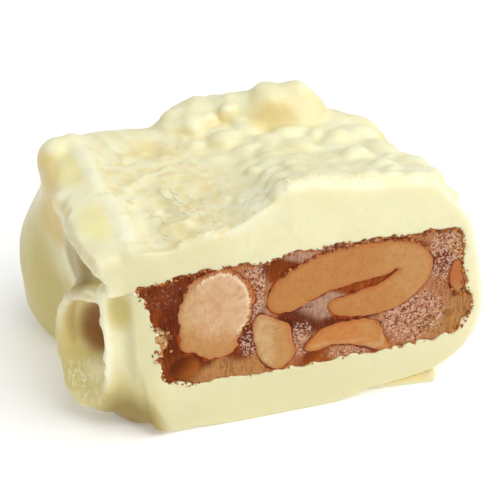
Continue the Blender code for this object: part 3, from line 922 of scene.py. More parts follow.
def add_knobs(field, top):
    """The larger knobs, and then the bumps between them."""
    xs, ys, _ = field.axes
    surface = field.highest()
    for at_x, at_y, along, across, rise, turn in KNOBS:
        i, j = nearest(xs, at_x), nearest(ys, at_y)
        tall = 1.4 + 0.3 * min(along, across)
        centre = (at_x, at_y, max(top[i, j], surface[i, j] - 0.3) + rise - tall)
        field.lump(centre, (along, across, tall), KNOB_BLEND, math.radians(turn))
    random = np.random.default_rng(BUMP_SEED)
    for bump_x in np.arange(*BUMP_X, BUMP_APART):
        for bump_y in np.arange(*BUMP_Y, BUMP_APART):
            at_x, at_y = np.add((bump_x, bump_y), random.uniform(-BUMP_STRAY, BUMP_STRAY, 2))
            along, across = random.uniform(*BUMP_HALF, 2)
            rise = random.uniform(*BUMP_RISE)
            turn = random.uniform(0, math.pi)
            on_mound = math.hypot(at_x - MOUND[0], at_y - MOUND[1]) < MOUND[2]
            height = surface[nearest(xs, at_x), nearest(ys, at_y)]
            knobbly = at_x > PLAIN_X or at_y > PLAIN_Y
            if knobbly and height > BUMP_LOWEST and not on_mound:
                tall = 0.8 + 0.4 * min(along, across)
                centre = (at_x, at_y, height + rise - tall)
                field.lump(centre, (along, across, tall), BUMP_BLEND, turn)


def add_corner(field, rough):
    """The hollow curl with its rib and its fan, and the groove beside them."""
    axes = field.axes
    field.corner_lump(*CURL)
    for stations, blend in CURL_CHAINS:
        field.chain(corner_chain(stations), blend)
    field.corner_lump(*CORNER_FOOT)
    field.corner_lump(*CURL_HOLLOW, HOLLOW_TURN, hollow=True, rough=0.3 * rough)
    field.corner_lump(*CURL_FOLD, hollow=True)
    field.chain(corner_chain(RIB), 0.2)
    high, low = [on_corner(place) for place in RIB_EDGE]
    field.value += 2.2 * rough * ramp(1.2, 0.3, capsule(*np.ix_(*axes), high, 0.0, low, 0.0))
    flakes = 0.6 * np.abs(noise(axes, (1.5, 1.5, 1.0), 35)) + 0.12 * noise(axes, 0.6, 36)
    field.corner_lump(*BROKEN_PATCH, hollow=True, rough=flakes)
    part, x, y, z = field.window(GROOVE_LOW, GROOVE_HIGH)
    groove = np.full(field.value[part].shape, FAR)
    stations = corner_chain(GROOVE)
    for start, end in zip(stations, stations[1:]):
        groove = soft_min(groove, capsule(x, y, z, *start, *end), 0.6)
    groove = round_max(groove, z - follow(GROOVE_TOP_Z, x) + rough[part], 0.1)
    field.join(part, groove, 0.25, hollow=True)


def add_tongue(field):
    """Flat lobes, broken off along their left edge and from below, and a raised crest."""
    part, x, y, z = field.window(TONGUE_LOW, TONGUE_HIGH)
    near_axes = [axis[piece] for axis, piece in zip(field.axes, part)]
    ragged = 0.16 * noise(near_axes, (0.9, 0.9, 0.7), 32)
    tongue = ellipsoid(x, y, z, *TONGUE[0])
    for lobe in TONGUE[1:]:
        tongue = soft_min(tongue, ellipsoid(x, y, z, *lobe), 0.6)
    edge_x = follow(TONGUE_EDGE_X, y) + 0.6 * np.maximum(z - TONGUE_EDGE_Z, 0)
    tongue = soft_max(tongue, edge_x + ragged - x, 0.15)
    tongue = soft_max(tongue, follow(TONGUE_UNDER_Z, y) + ragged - z, 0.2)
    field.join(part, tongue, 0.3)
    field.chain(TONGUE_CREST, 0.8)
    field.chain(TONGUE_TIP, 0.4)


def add_leaf(field):
    x, y, z = np.ix_(*field.axes)
    leaf = round_max(follow(LEAF_FRONT, x) - y, z - follow(LEAF_TOP, x), 0.15)
    ends = np.maximum(LEAF_ENDS_X[0] - x, x - LEAF_ENDS_X[1])
    leaf = round_max(leaf, np.maximum(ends, y - LEAF_BACK_Y), 0.3)
    field.join(slice(None), leaf, 0.15)


def cut_off(field):
    """The cut and the floor: the cut's upper right edge is round and the rest is crisp."""
    x, y, z = np.ix_(*field.axes)
    lip = 0.15 + 1.5 * ramp(STEP_X + 0.3, STEP_X + 2.2, x) * ramp(22, 25, z)
    lip = lip + 0.8 * ramp(39.0, 40.5, x) * (1 - ramp(22, 25, z))
    lip = lip + 1.4 * ramp(-0.5, -2.5, x) * ramp(21, 23, z)
    field.value[:] = round_max(field.value, CUT_Y - y + 0 * z, lip)
    field.value[:] = round_max(field.value, FLOOR_Z - z, 0.12)


def coating():
    field = Field(*[np.arange(*span, COATING_STEP) for span in COATING_SPAN])
    axes = field.axes
    xs, ys, _ = axes
    y = np.ix_(*axes)[1]
    top, scraped = top_heights(xs, ys)
    field.value[:] = body(field, top)
    field.value += 0.13 * noise(axes, 5, 31) * ramp(0.5, 4, y)
    for centre, half, blend, turn in LUMPS:
        field.lump(centre, half, blend, math.radians(turn))
    uneven = 0.18 * noise(axes, 2.0, 37)
    for centre, half, blend, turn in MOUND_LUMPS:
        field.lump(centre, half, blend, math.radians(turn), rough=uneven)
    add_knobs(field, top)
    field.chain(GOLDEN_RECESS, 1.0, hollow=True)
    field.lump(*COVE, COVE_TURN, hollow=True)
    add_corner(field, 0.14 * noise(axes, 0.8, 33))
    add_tongue(field)
    add_leaf(field)
    field.value += 0.035 * noise(axes, 1.7, 34) * ramp(0.3, 1.5, y)
    cut_off(field)
    surface = field.highest()
    solid = np.clip(0.5 - field.value / COATING_STEP, 0, 1)
    field.value[:] = np.maximum(field.value, -slab_distance(field, -0.06))
    made = mesh_object("white_chocolate_coating", *skin(field))
    thin_out(made, COATING_KEEP)

    points = points_of(made)
    i, j = nearest(xs, points[:, 0]), nearest(ys, points[:, 1])
    near_top = ramp(1.2, 0.3, np.abs(points[:, 2] - top[i, j]))
    on_cut = ramp(0.3, 0.06, points[:, 1])
    give_values(made, scraped=scraped[i, j] * near_top, on_cut=on_cut)
    # How hollow or proud each point is: hollows and deep places get painted warm shade, crests a painted
    # highlight.
    near = field.at(points, blurred(solid, 1.1, COATING_STEP))
    wide = field.at(points, blurred(solid, 3.0, COATING_STEP))
    valley, crest = ramp(0.52, 0.72, near), ramp(0.46, 0.26, near)
    give_values(made, valley=valley, crest=crest, deep=ramp(0.55, 0.85, wide))
    # Steep sides of the top get painted warm shade, so that the tops stay lighter.
    normals = np.zeros(len(points) * 3, np.float32)
    made.data.vertices.foreach_get("normal", normals)
    steep = ramp(0.93, 0.5, normals.reshape(-1, 3)[:, 2])
    steep = steep * ramp(21.5, 23.0, points[:, 2]) * ramp(0.3, 1.5, points[:, 1])
    place, half, _ = BROKEN_PATCH
    broken = inside_of(points, on_corner(place), np.multiply(half, 1.25), CORNER_TURN)
    edge_gap = np.abs(points[:, 0] - follow(TONGUE_EDGE_X, points[:, 1]))
    broken_edge = ramp(1.1, 0.3, edge_gap) * ramp(21.3, 22.0, points[:, 2])
    broken_edge = 0.8 * broken_edge * ramp(15.5, 14, points[:, 1])
    give_values(made, steep=steep, broken=np.maximum(broken, broken_edge))
    # Painted shade and highlight on listed places, with a little wobble at their borders.
    paint_shade_and_light(made, points, 0.06 * field.at(points, noise(axes, 2.5, 38)))
    return made, field, surface


def paint_shade_and_light(made, points, wobble):
    """Paints each patch of painted shade or highlight over the ones before it."""
    shade_and_light_zones = [(centre, half, 0.0, much, tone) for centre, half, much, tone in PAINTED_SHADE_AND_LIGHT]
    for place, half, much, tone in CORNER_PAINTED_SHADE_AND_LIGHT:
        shade_and_light_zones.append((on_corner(place), half, CORNER_TURN, much, tone))
    tint = np.zeros((len(points), 3))
    tinted = np.zeros(len(points))
    for centre, half, turn, much, tone in shade_and_light_zones:
        share = inside_of(points, centre, half, turn, wobble) * much
        tint = tint * (1 - share[:, None]) + share[:, None] * np.array(rgb(tone))
        tinted = tinted * (1 - share) + share
    give_values(made, tinted=tinted)
    give_colours(made, tint=tint / np.maximum(tinted, 1e-6)[:, None])


def inside_of(points, centre, half, turn=0.0, wobble=0.0):
    """One well inside an ellipsoid, falling to nothing a little outside it."""
    dx, dy, dz = (points - np.array(centre)).T
    along, across = turned(dx, dy, turn)
    scaled = np.sqrt((along / half[0]) ** 2 + (across / half[1]) ** 2 + (dz / half[2]) ** 2)
    return ramp(1.25, 0.55, scaled + wobble)


def blurred(values, reach, step):
    """Each place's mean over a box about it."""
    wide = 2 * int(reach / step) + 1
    for axis in range(values.ndim):
        padding = [(0, 0)] * values.ndim
        padding[axis] = (wide // 2 + 1, wide // 2)
        total = np.cumsum(np.pad(values, padding, mode="edge"), axis=axis)
        count = total.shape[axis] - wide
        ahead = np.take(total, np.arange(wide, wide + count), axis=axis)
        values = (ahead - np.take(total, np.arange(count), axis=axis)) / wide
    return values


def shaving(random, length):
    """A thin ragged chip: places along and across it, and its lift."""
    u, v = np.meshgrid(np.linspace(-1, 1, 9), np.linspace(-1, 1, 4), indexing="ij")
    width = length * random.uniform(0.12, 0.3)
    ragged = 1 + random.normal(0, 0.2, u.shape)
    across = 0.5 * width * v * (1 - 0.75 * np.abs(u) ** 2.5) * ragged
    across = across + random.normal(0, 0.12) * length * u**2
    lift = random.uniform(0, 0.025) * (u + 1) ** 1.6 - 0.04
    return 0.5 * length * u, across, lift


def shell_faces(rows, columns):
    """Faces of a closed sheet with an upper and a lower layer of points."""
    number = np.arange(rows * columns).reshape(rows, columns)
    upper = (number[:-1, :-1], number[1:, :-1], number[1:, 1:], number[:-1, 1:])
    upper = np.stack(upper, axis=-1).reshape(-1, 4)
    lower = upper[:, ::-1] + rows * columns
    border = np.concatenate((number[:, 0], number[-1, 1:], number[-2::-1, -1], number[0, -2:0:-1]))
    ahead = np.roll(border, -1)
    sides = np.stack((ahead, border, border + rows * columns, ahead + rows * columns), axis=1)
    return np.concatenate((upper, lower, sides))


def shavings(field, surface):
    """Chips that lie on the top, one end of each a little lifted."""
    random = np.random.default_rng(SHAVING_SEED)
    levels = np.repeat(surface[:, :, None], 2, axis=2)
    ground = Field(field.axes[0], field.axes[1], (0.0, 1.0))
    points, faces = [], []
    for middle, half, count, lengths, turn, spread in SHAVINGS:
        for _ in range(count):
            x, y, lift = shaving(random, random.uniform(*lengths))
            angle = math.radians(random.normal(turn, spread))
            centre = middle + random.uniform(-1, 1, 2) * half
            run_x, run_y = turned(x, y, -angle)
            at_x, at_y = centre[0] + run_x, np.maximum(centre[1] + run_y, 0.05)
            flat = np.stack((at_x.ravel(), at_y.ravel(), np.zeros(at_x.size)), axis=1)
            height = ground.at(flat, levels)
            if np.ptp(height) > SHAVING_DROP:
                continue
            for side in (0.5, -0.5):
                layer = flat.copy()
                layer[:, 2] = height + lift.ravel() + side * SHAVING_THICK
                points.append(layer)
            faces.append(shell_faces(*x.shape) + 2 * x.size * len(faces))
    made = mesh_object("chocolate_shavings", np.concatenate(points), np.concatenate(faces))
    made.data.set_sharp_from_angle(angle=math.radians(50))
    return made


def fine_grid(outline, depth):
    """Close steps over the cut that grow wider away from it."""
    ys = [-0.6, -0.3]
    while ys[-1] < depth + 1.0:
        ys.append(ys[-1] + max(FINE_STEP, 0.16 * ys[-1]))
    low, high = np.min(outline, 0) - FINE_BORDER, np.max(outline, 0) + FINE_BORDER
    xs, zs = [np.arange(*span, FINE_STEP) for span in zip(low, high)]
    return Field(xs, ys, zs)


def nut_edge(name, xs, zs):
    """The signed distance on the cut from a nut's ragged outline."""
    ragged = 0.05 * noise_at_cut(xs, zs, 0.5, 41)
    if name == "cashew_round":
        ragged = ragged + 0.12 * noise_at_cut(xs, zs, 0.45, 42)
    return outline_distance(NUTS[name], xs, zs) + ragged


def nut_distance(field, name):
    """How far each place is outside a nut that goes on in front of the cut."""
    xs, ys, zs = field.axes
    depth = NUT_DEPTH[name]
    edge = nut_edge(name, xs, zs)[:, None, :]
    deep = np.clip(ys / depth, 0, 1.3)[None, :, None]
    thick = 0.45 * depth
    return edge + thick * (1 - np.sqrt(np.maximum(1 - deep**2, 0))) + 2 * np.maximum(deep - 1, 0)


def nut(name):
    field = fine_grid(NUTS[name], NUT_DEPTH[name])
    xs, ys, zs = field.axes
    edge = nut_edge(name, xs, zs)
    rough = 0.2 if name in CRUMBLY else 0.02
    face = 0.05 + rough + 0.03 * noise_at_cut(xs, zs, 0.9, 43)
    face = face + rough * noise_at_cut(xs, zs, 0.4, 44) + 0.06 * ramp(-0.4, 0.0, edge)
    front = np.maximum(face, 0.005)[:, None, :] - ys[None, :, None]
    field.value[:] = round_max(nut_distance(field, name), front, 0.08)
    made = mesh_object(name + "_piece", *skin(field))
    points = points_of(made)
    i, k = nearest(xs, points[:, 0]), nearest(zs, points[:, 2])
    dx, dz = from_middle(points, *PALE_DISC)
    reach = np.hypot(dx, dz)
    rays = np.stack((dx / (reach + 0.01), dz / (reach + 0.01), reach), axis=1)
    give_colours(made, tone=painted(points, FLESH[name]), ray=rays)
    crisp = ramp(-0.5, 0.3, (0.77 * dx + 0.64 * dz) / (reach + 0.01))
    give_values(made, inset=-edge[i, k], crisp=crisp)
    return made


def from_middle(points, x, z, half_x, half_z):
    """Places across the cut from a middle, in half sizes."""
    return (points[:, 0] - x) / half_x, (points[:, 2] - z) / half_z


def painted(points, zones):
    """A colour for each point, blended from zones of x, z, half sizes and tone."""
    total = np.zeros((len(points), 3))
    weight = np.zeros(len(points))
    for *zone, tone in zones:
        dx, dz = from_middle(points, *zone)
        share = np.exp(-1.5 * (dx**2 + dz**2)) + 1e-9
        total += share[:, None] * np.array(rgb(tone))
        weight += share
    return total / weight[:, None]


def brittle():
    field = fine_grid(SLAB_OUTLINE, SLAB_BACK_Y)
    xs, ys, zs = field.axes
    slab = slab_distance(field)
    nuts = np.full((len(xs), len(zs)), FAR)
    value = slab
    for name in NUTS:
        nuts = np.minimum(nuts, nut_edge(name, xs, zs))
        value = np.maximum(value, -nut_distance(field, name) - 0.05)
    rim = slab[:, 2, :]
    face = 0.14 + 0.05 * noise_at_cut(xs, zs, 1.6, 51) + 0.05 * noise_at_cut(xs, zs, 0.5, 52)
    pits = ramp(0.9, 1.5, noise_at_cut(xs, zs, 0.6, 53))
    face = face + 0.2 * pits + 0.08 * ramp(-0.3, 0, rim)
    for at_x, at_z, half_x, half_z, middle, border, _ in DROPS:
        out = np.hypot((xs[:, None] - at_x) / half_x, (zs[None, :] - at_z) / half_z)
        deep = middle + (border - middle) * np.minimum(out, 1) ** 2
        face = face + (deep - face) * ramp(1.15, 0.9, out)
    front = np.maximum(face, 0.01)[:, None, :] - ys[None, :, None]
    field.value[:] = round_max(value, front, 0.06)
    made = mesh_object("brittle_slab", *skin(field))
    points = points_of(made)
    i, k = nearest(xs, points[:, 0]), nearest(zs, points[:, 2])
    speckled = np.zeros(len(points))
    for *zone, share in SPECKLED:
        out = np.hypot(*from_middle(points, *zone))
        speckled = np.maximum(speckled, share * ramp(1.3, 0.6, out))
    drop = np.zeros(len(points))
    # Which way each drop runs from its painted shade to its painted highlight.
    lean = np.zeros(len(points))
    for *zone, _, _, clear in DROPS:
        dx, dz = from_middle(points, *zone)
        found = clear * ramp(1.2, 0.75, np.hypot(dx, dz))
        lean = np.where(found > 0, 0.8 * dx - 0.5 * dz, lean)
        drop = np.maximum(drop, found)
    give_values(made, to_nut=nuts[i, k], to_rim=-rim[i, k])
    give_values(made, speckled=speckled, drop=drop, lean=lean)
    give_colours(made, tone=painted(points, CARAMEL))
    return made


def crumbs():
    """Small irregular grains along the borders of the slab and of the nuts."""
    ball = bmesh.new()
    bmesh.ops.create_icosphere(ball, subdivisions=2, radius=1.0)
    ball.verts.index_update()
    ball_points = np.array([corner.co for corner in ball.verts])
    ball_faces = np.array([[corner.index for corner in face.verts] for face in ball.faces])
    ball.free()
    random = np.random.default_rng(CRUMB_SEED)
    points, faces, colours = [], [], []
    for outline, low, high, count, stray, sizes, tones in CRUMBS:
        loop = closed_curve(outline, 24)
        loop = loop[np.all((loop > low) & (loop < high), axis=1)]
        tones = tones.split()
        for _ in range(count):
            middle = loop[random.integers(len(loop))] + random.normal(0, stray, 2)
            half = random.uniform(*sizes) * random.uniform(0.5, 1.0, 3)
            uneven = 1 + random.normal(0, 0.26, len(ball_points))
            shape = ball_points * uneven[:, None] * half
            x, z = turned(shape[:, 0], shape[:, 2], -random.uniform(0, math.pi))
            y = shape[:, 1] + random.uniform(0.05, 0.16)
            faces.append(ball_faces + len(ball_points) * len(points))
            points.append(np.stack((middle[0] + x, y, middle[1] + z), axis=1))
            tone = np.array(rgb(tones[random.integers(len(tones))]))
            colours.append(np.tile(tone * random.uniform(0.75, 1.15), (len(ball_points), 1)))
    made = mesh_object("brittle_crumbs", np.concatenate(points), np.concatenate(faces))
    made.data.set_sharp_from_angle(angle=math.radians(30))
    give_colours(made, tone=np.minimum(np.concatenate(colours), 1))
    return made


class Look:
    """A material on the Principled shader, with textures measured in millimetres.

    Colours are sockets, names of tones, or colours in 0 to 255 values.
    """

    def __init__(self, name):
        self.material = bpy.data.materials.new(name)
        self.material.use_nodes = True
        self.tree = self.material.node_tree
        self.shader = self.tree.nodes["Principled BSDF"]
        self.place = self.add("ShaderNodeTexCoord").outputs["Object"]
        self.colour = None
        self.relief = None

    def add(self, kind, inputs=(), **settings):
        node = self.tree.nodes.new(kind)
        for name, value in settings.items():
            setattr(node, name, value)
        for name, value in dict(inputs).items():
            self.feed(value, node.inputs[name])
        return node

    def feed(self, value, socket):
        if isinstance(value, bpy.types.NodeSocket):
            self.tree.links.new(value, socket)
        else:
            socket.default_value = value

    def stored(self, name, output="Fac"):
        """A value stored for each point, or a colour."""
        return self.add("ShaderNodeAttribute", attribute_name=name).outputs[output]

    def vector(self, operation, a, b):
        inputs = {0: a, 1: b if isinstance(b, bpy.types.NodeSocket) else np.broadcast_to(b, 3)}
        return self.add("ShaderNodeVectorMath", inputs, operation=operation).outputs["Vector"]

    def noise(self, size, detail=2.0, stretch=(1, 1, 1), roughness=0.5, vector=None, turn=0):
        """Noise with lumps of a size in mm, drawn out along turned axes by the stretch."""
        if vector is None:
            inputs = {"Vector": self.place, "Angle": math.radians(turn)}
            rotated = self.add("ShaderNodeVectorRotate", inputs, rotation_type="Z_AXIS")
            factors = [1 / (MM * size * part) for part in stretch]
            vector = self.vector("MULTIPLY", rotated.outputs["Vector"], factors)
        inputs = {"Vector": vector, "Scale": 1.0, "Detail": detail, "Roughness": roughness}
        return self.add("ShaderNodeTexNoise", inputs).outputs["Fac"]

    def random_cells(self, size, wobble=0.2, bend=0.45):
        """A random value for each of many small grains, whose borders are bent."""
        place = self.vector("MULTIPLY", self.place, 1 / (MM * wobble))
        bent = self.add("ShaderNodeTexNoise", {"Vector": place}).outputs["Color"]
        bent = self.vector("MULTIPLY", bent, MM * size * bend)
        place = self.vector("MULTIPLY", self.vector("ADD", self.place, bent), 1 / (MM * size))
        cells = self.add("ShaderNodeTexVoronoi", {"Vector": place, "Scale": 1.0})
        return self.add("ShaderNodeSeparateColor", {"Color": cells.outputs["Color"]}).outputs["Red"]

    def ease(self, value, low, high, start=0.0, end=1.0):
        """A smooth change from start at low to end at high."""
        if low > high:
            low, high, start, end = high, low, end, start
        inputs = {"Value": value, "From Min": low, "From Max": high, "To Min": start, "To Max": end}
        node = self.add("ShaderNodeMapRange", inputs, interpolation_type="SMOOTHSTEP")
        return node.outputs["Result"]

    def maths(self, operation, a, b):
        return self.add("ShaderNodeMath", {0: a, 1: b}, operation=operation).outputs["Value"]

    def times(self, a, b):
        return self.maths("MULTIPLY", a, b)

    def plus(self, a, b):
        return self.maths("ADD", a, b)

    def minus(self, a, b):
        return self.maths("SUBTRACT", a, b)

    def mix(self, share, a, b):
        node = self.add("ShaderNodeMix", data_type="RGBA")
        self.feed(share, node.inputs[0])
        for socket, value in ((6, a), (7, b)):
            if isinstance(value, (str, tuple)):
                value = (*rgb(value), 1.0)
            self.feed(value, node.inputs[socket])
        return node.outputs[2]

    def patches(self, value, low, high, a, b, share=1.0):
        """One colour where a value is at low, and the other by a share at high."""
        return self.mix(self.ease(value, low, high, 0.0, share), a, b)

    def paint(self, tone, value, low=None, high=None, share=1.0, within=None):
        """Lays a tone over the colour so far: all over, or where a value is at high."""
        if low is None:
            value = self.times(value, share)
        else:
            value = self.ease(value, low, high, 0.0, share)
        if within is not None:
            value = self.times(value, within)
        self.colour = self.mix(value, self.colour, tone)

    def emboss(self, height, deep, within=None):
        """Adds relief of a depth in mm to the relief so far."""
        if within is not None:
            height = self.times(height, within)
        inputs = {"Height": height, "Distance": deep * MM, "Strength": 1.0}
        if self.relief is not None:
            inputs["Normal"] = self.relief
        self.relief = self.add("ShaderNodeBump", inputs).outputs["Normal"]

    def glow(self, weight, scale, radius):
        """Light that goes a little way, in mm, under the surface."""
        for name, value in (("Weight", weight), ("Scale", scale * MM), ("Radius", radius)):
            self.feed(value, self.shader.inputs["Subsurface " + name])

    def finish(self, **values):
        """Sets the shader, and gives the material."""
        values.update(Base_Color=self.colour, Normal=self.relief)
        for name, value in values.items():
            self.feed(value, self.shader.inputs[name.replace("_", " ")])
        return self.material


def chocolate_look(name, loose=False):
    look = Look(name)
    scraped = 1.0 if loose else look.stored("scraped")
    on_cut, broken = look.stored("on_cut"), look.stored("broken")
    look.colour = look.patches(look.noise(4.5), 0.35, 0.65, (250, 245, 206), (245, 238, 194))
    look.paint((232, 225, 177), on_cut, share=0.6)
    look.paint((249, 244, 212), look.noise(0.9, 3), 0.5, 0.75, 0.3)
    streaks = look.noise(0.3, 4, (1, 4, 1), 0.65, turn=-30)
    look.paint("ivory", streaks, 0.48, 0.66, 0.55, scraped)
    look.paint("honey", look.noise(1.6, 3), 0.42, 0.66, 0.5, scraped)
    # Painted highlight on crests, and painted warm shade in valleys, in deep places and on steep sides.
    look.paint("ivory", look.stored("crest"), share=0.6)
    for part, share in (("valley", 0.6), ("deep", 0.55), ("steep", 0.45)):
        look.paint("honey", look.stored(part), share=share)
    # Painted shade and highlight laid on listed places of the chocolate.
    look.paint(look.stored("tint", "Color"), look.stored("tinted"))
    # On broken places: pale crystals on the raised flakes, and painted warm shade in the dips between
    # them.
    flakes = look.noise(0.34, 4, (1, 1, 2.4), 0.65)
    look.paint((244, 238, 204), flakes, 0.5, 0.6, 1.0, broken)
    look.paint("honey", flakes, 0.46, 0.36, 0.5, broken)
    fine = look.noise(0.5, 3)
    look.emboss(look.noise(2.4, 2), 0.15)
    look.emboss(fine, 0.04, look.ease(on_cut, 0, 1, 1, 0.1))
    look.emboss(streaks, 0.03, scraped)
    look.emboss(flakes, 0.22, broken)
    look.emboss(look.noise(0.22, 2, (14, 1, 1)), 0.008, on_cut)
    if not loose:
        look.glow(0.45, 1.1, (1.0, 0.75, 0.4))
    rough = look.plus(fine, look.times(scraped, 0.5))
    return look.finish(Roughness=look.ease(rough, 0.2, 1.3, 0.34, 0.6))


def caramel_look(name):
    look = Look(name)
    speckled, drop = look.stored("speckled"), look.stored("drop")
    plain = look.times(look.ease(speckled, 0, 0.8, 1, 0.25), look.ease(drop, 0, 1, 1, 0.15))
    hairs = look.noise(0.22, 4, (1, 1, 7), 0.65)
    grains = look.noise(0.22, 3, roughness=0.7)
    look.colour = look.stored("tone", "Color")
    look.paint((92, 34, 14), hairs, 0.54, 0.36, 0.5, plain)
    look.paint((178, 102, 54), hairs, 0.54, 0.7, 0.42, plain)
    look.paint((176, 98, 48), grains, 0.5, 0.68, 0.25)
    # Painted glints: pale specks where the brittle is speckled; the dark specks are pits.
    pick = look.random_cells(0.19)
    above = look.minus(pick, look.ease(speckled, 0, 1, 1.0, 0.55))
    below = look.minus(look.ease(speckled, 0, 1, 0.0, 0.24), pick)
    look.paint((222, 182, 158), above, -0.03, 0.04, 0.7, look.ease(speckled, 0.2, 0.6))
    look.paint((104, 36, 16), below, -0.03, 0.04, 0.8)
    # The clear drops are amber, with painted shade on one side and a painted highlight on the other.
    clear = look.patches(look.stored("lean"), -0.6, 0.9, (88, 32, 8), (170, 92, 28))
    look.paint(clear, drop, share=0.85)
    rim = look.plus(look.stored("to_rim"), look.times(look.noise(0.3, 3), 0.6))
    crumbled = look.patches(look.noise(0.25, 3), 0.4, 0.6, (150, 62, 22), (200, 126, 62))
    look.paint(crumbled, rim, 0.7, 0.4, 0.75)
    near = look.plus(look.stored("to_nut"), look.times(look.noise(0.3, 3), 0.3))
    near = look.plus(near, look.ease(look.noise(1.6), 0.35, 0.65, -0.06, 0.12))
    red = look.patches(look.noise(1.1), 0.42, 0.6, (104, 30, 14), (168, 70, 28))
    look.paint(red, near, 0.3, 0.14, 0.85)
    look.emboss(look.noise(0.7, 3), 0.1)
    look.emboss(grains, 0.08, look.ease(drop, 0, 1, 1, 0.1))
    look.emboss(hairs, 0.05, plain)
    look.emboss(pick, 0.06, speckled)
    look.glow(0.08, 0.6, (1.0, 0.4, 0.15))
    rough = look.ease(look.noise(0.7, 2), 0.3, 0.7, 0.24, 0.5)
    rough = look.times(rough, look.ease(drop, 0, 1, 1, 0.4))
    return look.finish(Roughness=rough, Specular_IOR_Level=look.ease(speckled, 0, 0.8, 0.05, 0.14))


def crumb_look(name):
    look = Look(name)
    grains = look.noise(0.15, 3, roughness=0.6)
    look.colour = look.stored("tone", "Color")
    look.paint((216, 150, 90), grains, 0.45, 0.7, 0.35)
    look.emboss(grains, 0.03)
    rough = look.ease(grains, 0.3, 0.7, 0.3, 0.5)
    return look.finish(Roughness=rough, Specular_IOR_Level=0.3)


def cashew_look(name, rayed=0.0, crumbly=0.0):
    look = Look(name)
    inset = look.stored("inset")
    ray = look.stored("ray", "Color")
    fibres = look.noise(1.0, 4, roughness=0.6, vector=look.vector("MULTIPLY", ray, (9.0, 9.0, 0.8)))
    mottle = look.noise(1.1, 3)
    grain = look.noise(0.28, 3, roughness=0.6)
    look.colour = look.stored("tone", "Color")
    look.paint((184, 114, 54), mottle, 0.35, 0.7, 0.3)
    look.paint((222, 172, 114), grain, 0.5, 0.72, 0.2)
    look.paint((160, 104, 46), look.noise(0.5, 4, roughness=0.65), 0.5, 0.68, 0.35)
    look.paint((146, 78, 34), look.noise(0.2), 0.66, 0.74, 0.45)
    look.paint((184, 98, 40), inset, 0.8, 0.1, 0.5)
    if rayed:
        paint_rays(look, ray, fibres, mottle)
    if crumbly:
        broken = look.patches(look.noise(0.3, 3), 0.45, 0.55, (146, 74, 28), (236, 206, 152))
        look.paint(broken, look.noise(0.35, 4, roughness=0.7), 0.46, 0.56)
    ragged = look.plus(inset, look.times(look.noise(0.25, 3), 0.25))
    ragged = look.plus(ragged, look.ease(look.noise(1.6), 0.35, 0.65, -0.05, 0.08))
    red = look.patches(look.noise(1.1), 0.42, 0.6, (124, 38, 16), (180, 82, 34))
    look.paint(red, ragged, 0.2, 0.1, 0.9 - 0.6 * crumbly)
    look.emboss(look.noise(1.2, 3), 0.08)
    look.emboss(fibres, 0.03 * rayed + 0.01)
    look.emboss(grain, 0.03 + 0.12 * crumbly)
    look.glow(0.25, 0.8, (1.0, 0.5, 0.2))
    rough = look.ease(mottle, 0.3, 0.7, 0.36, 0.52)
    return look.finish(Roughness=rough, Specular_IOR_Level=0.28)


def paint_rays(look, ray, fibres, mottle):
    """The pale rayed disc of the round nut, with a border on its crisp side."""
    reach = look.add("ShaderNodeSeparateColor", {"Color": ray}).outputs["Blue"]
    crisp = look.stored("crisp")
    teeth = look.noise(1.0, vector=look.vector("MULTIPLY", ray, (13.0, 13.0, 0.6)))
    ending = look.plus(reach, look.times(look.minus(teeth, 0.5), 0.24))
    bare = look.patches(look.noise(0.35, 3), 0.5, 0.6, (192, 116, 54), (134, 46, 18), 0.8)
    look.paint(bare, crisp, share=0.75)
    flesh_colour = look.colour
    look.colour = look.patches(mottle, 0.4, 0.65, (217, 177, 136), (208, 162, 120))
    look.paint((240, 212, 176), fibres, 0.45, 0.7, 0.5, look.ease(reach, 0.35, 1.0))
    look.paint((204, 142, 74), look.noise(0.3), 0.56, 0.64, 0.6, look.ease(crisp, 0.6, 0.1))
    uneven = look.times(crisp, look.ease(look.noise(0.9), 0.4, 0.6, 0.3, 1))
    look.paint((248, 230, 198), ending, 0.86, 0.96, 0.6, uneven)
    hard = look.times(look.ease(ending, 1.03, 0.96), crisp)
    soft = look.times(look.ease(ending, 1.02, 0.5), look.minus(1.0, crisp))
    look.colour = look.mix(look.plus(hard, soft), flesh_colour, look.colour)


def camera():
    data = bpy.data.cameras.new("camera")
    data.lens = LENS
    data.sensor_width = SENSOR
    data.clip_start = 0.01
    data.clip_end = 10.0
    made = placed("camera", data)
    right = CAMERA_RIGHT.normalized()
    up = CAMERA_UP.normalized()
    turn = Matrix((right, up, right.cross(up))).transposed()
    made.matrix_world = Matrix.Translation(CAMERA_PLACE) @ turn.to_4x4()
    bpy.context.scene.camera = made


def light(name, kind, place, **settings):
    """A light that shines from a place towards the middle."""
    data = bpy.data.lights.new(name, kind)
    for setting, value in settings.items():
        setattr(data, setting, value)
    made = placed(name, data)
    made.location = place
    made.rotation_mode = "QUATERNION"
    made.rotation_quaternion = Vector(place).to_track_quat("Z", "Y")


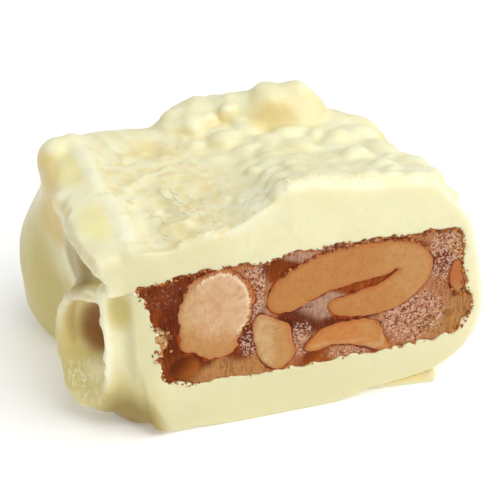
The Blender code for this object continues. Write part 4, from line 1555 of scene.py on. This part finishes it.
def lights():
    world = bpy.data.worlds.new("studio")
    bpy.context.scene.world = world
    world.use_nodes = True
    sky = world.node_tree.nodes["Background"].inputs
    sky["Color"].default_value = WORLD_COLOUR
    sky["Strength"].default_value = WORLD_POWER
    light("key", "SUN", SUN_TOWARDS, energy=SUN_POWER, angle=SUN_ANGLE)
    light("side", "AREA", SIDE_PLACE, energy=SIDE_POWER, size=SIDE_SIZE)


def floor():
    mesh = bpy.data.meshes.new("floor")
    square = [(x * FLOOR_HALF, y * FLOOR_HALF, 0) for x, y in ((-1, -1), (1, -1), (1, 1), (-1, 1))]
    mesh.from_pydata(square, [], [(0, 1, 2, 3)])
    made = placed("floor", mesh)
    look = Look("pale_floor")
    look.colour = look.mix(look.noise(40.0, 3), (246, 246, 245), (248, 248, 247))
    look.emboss(look.noise(6.0, 3), 0.05)
    look.finish(Roughness=0.7, Emission_Color=(1, 1, 1, 1), Emission_Strength=FLOOR_GLOW)
    made.data.materials.append(look.material)


def dress(made, material, node=None):
    made.data.materials.clear()
    made.data.materials.append(material)
    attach(made, BODY)
    if node:
        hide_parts(node)


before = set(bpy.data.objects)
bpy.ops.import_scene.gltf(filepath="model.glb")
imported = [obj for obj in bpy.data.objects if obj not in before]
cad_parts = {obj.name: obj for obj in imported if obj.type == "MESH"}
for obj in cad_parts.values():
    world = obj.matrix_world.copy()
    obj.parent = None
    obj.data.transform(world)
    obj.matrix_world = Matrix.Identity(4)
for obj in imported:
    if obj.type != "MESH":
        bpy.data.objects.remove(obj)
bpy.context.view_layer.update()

chocolate = chocolate_look("white_chocolate_look")
loose_chocolate = chocolate_look("white_chocolate_shavings_look", loose=True)
caramel = caramel_look("caramel_look")
flesh = cashew_look("cashew_look")
round_flesh = cashew_look("cashew_round_look", rayed=1.0)
crumbly_flesh = cashew_look("cashew_crumbly_look", crumbly=1.0)

coating_piece, coating_field, coating_surface = coating()
dress(coating_piece, chocolate, "coating")
dress(shavings(coating_field, coating_surface), loose_chocolate)
dress(brittle(), caramel, "brittle")
dress(crumbs(), crumb_look("brittle_crumbs_look"))
for nut_name in NUTS:
    look_of_nut = crumbly_flesh if nut_name in CRUMBLY else flesh
    look_of_nut = round_flesh if nut_name == "cashew_round" else look_of_nut
    dress(nut(nut_name), look_of_nut, nut_name)

floor()
lights()
camera()
bpy.context.scene.view_settings.view_transform = "Standard"
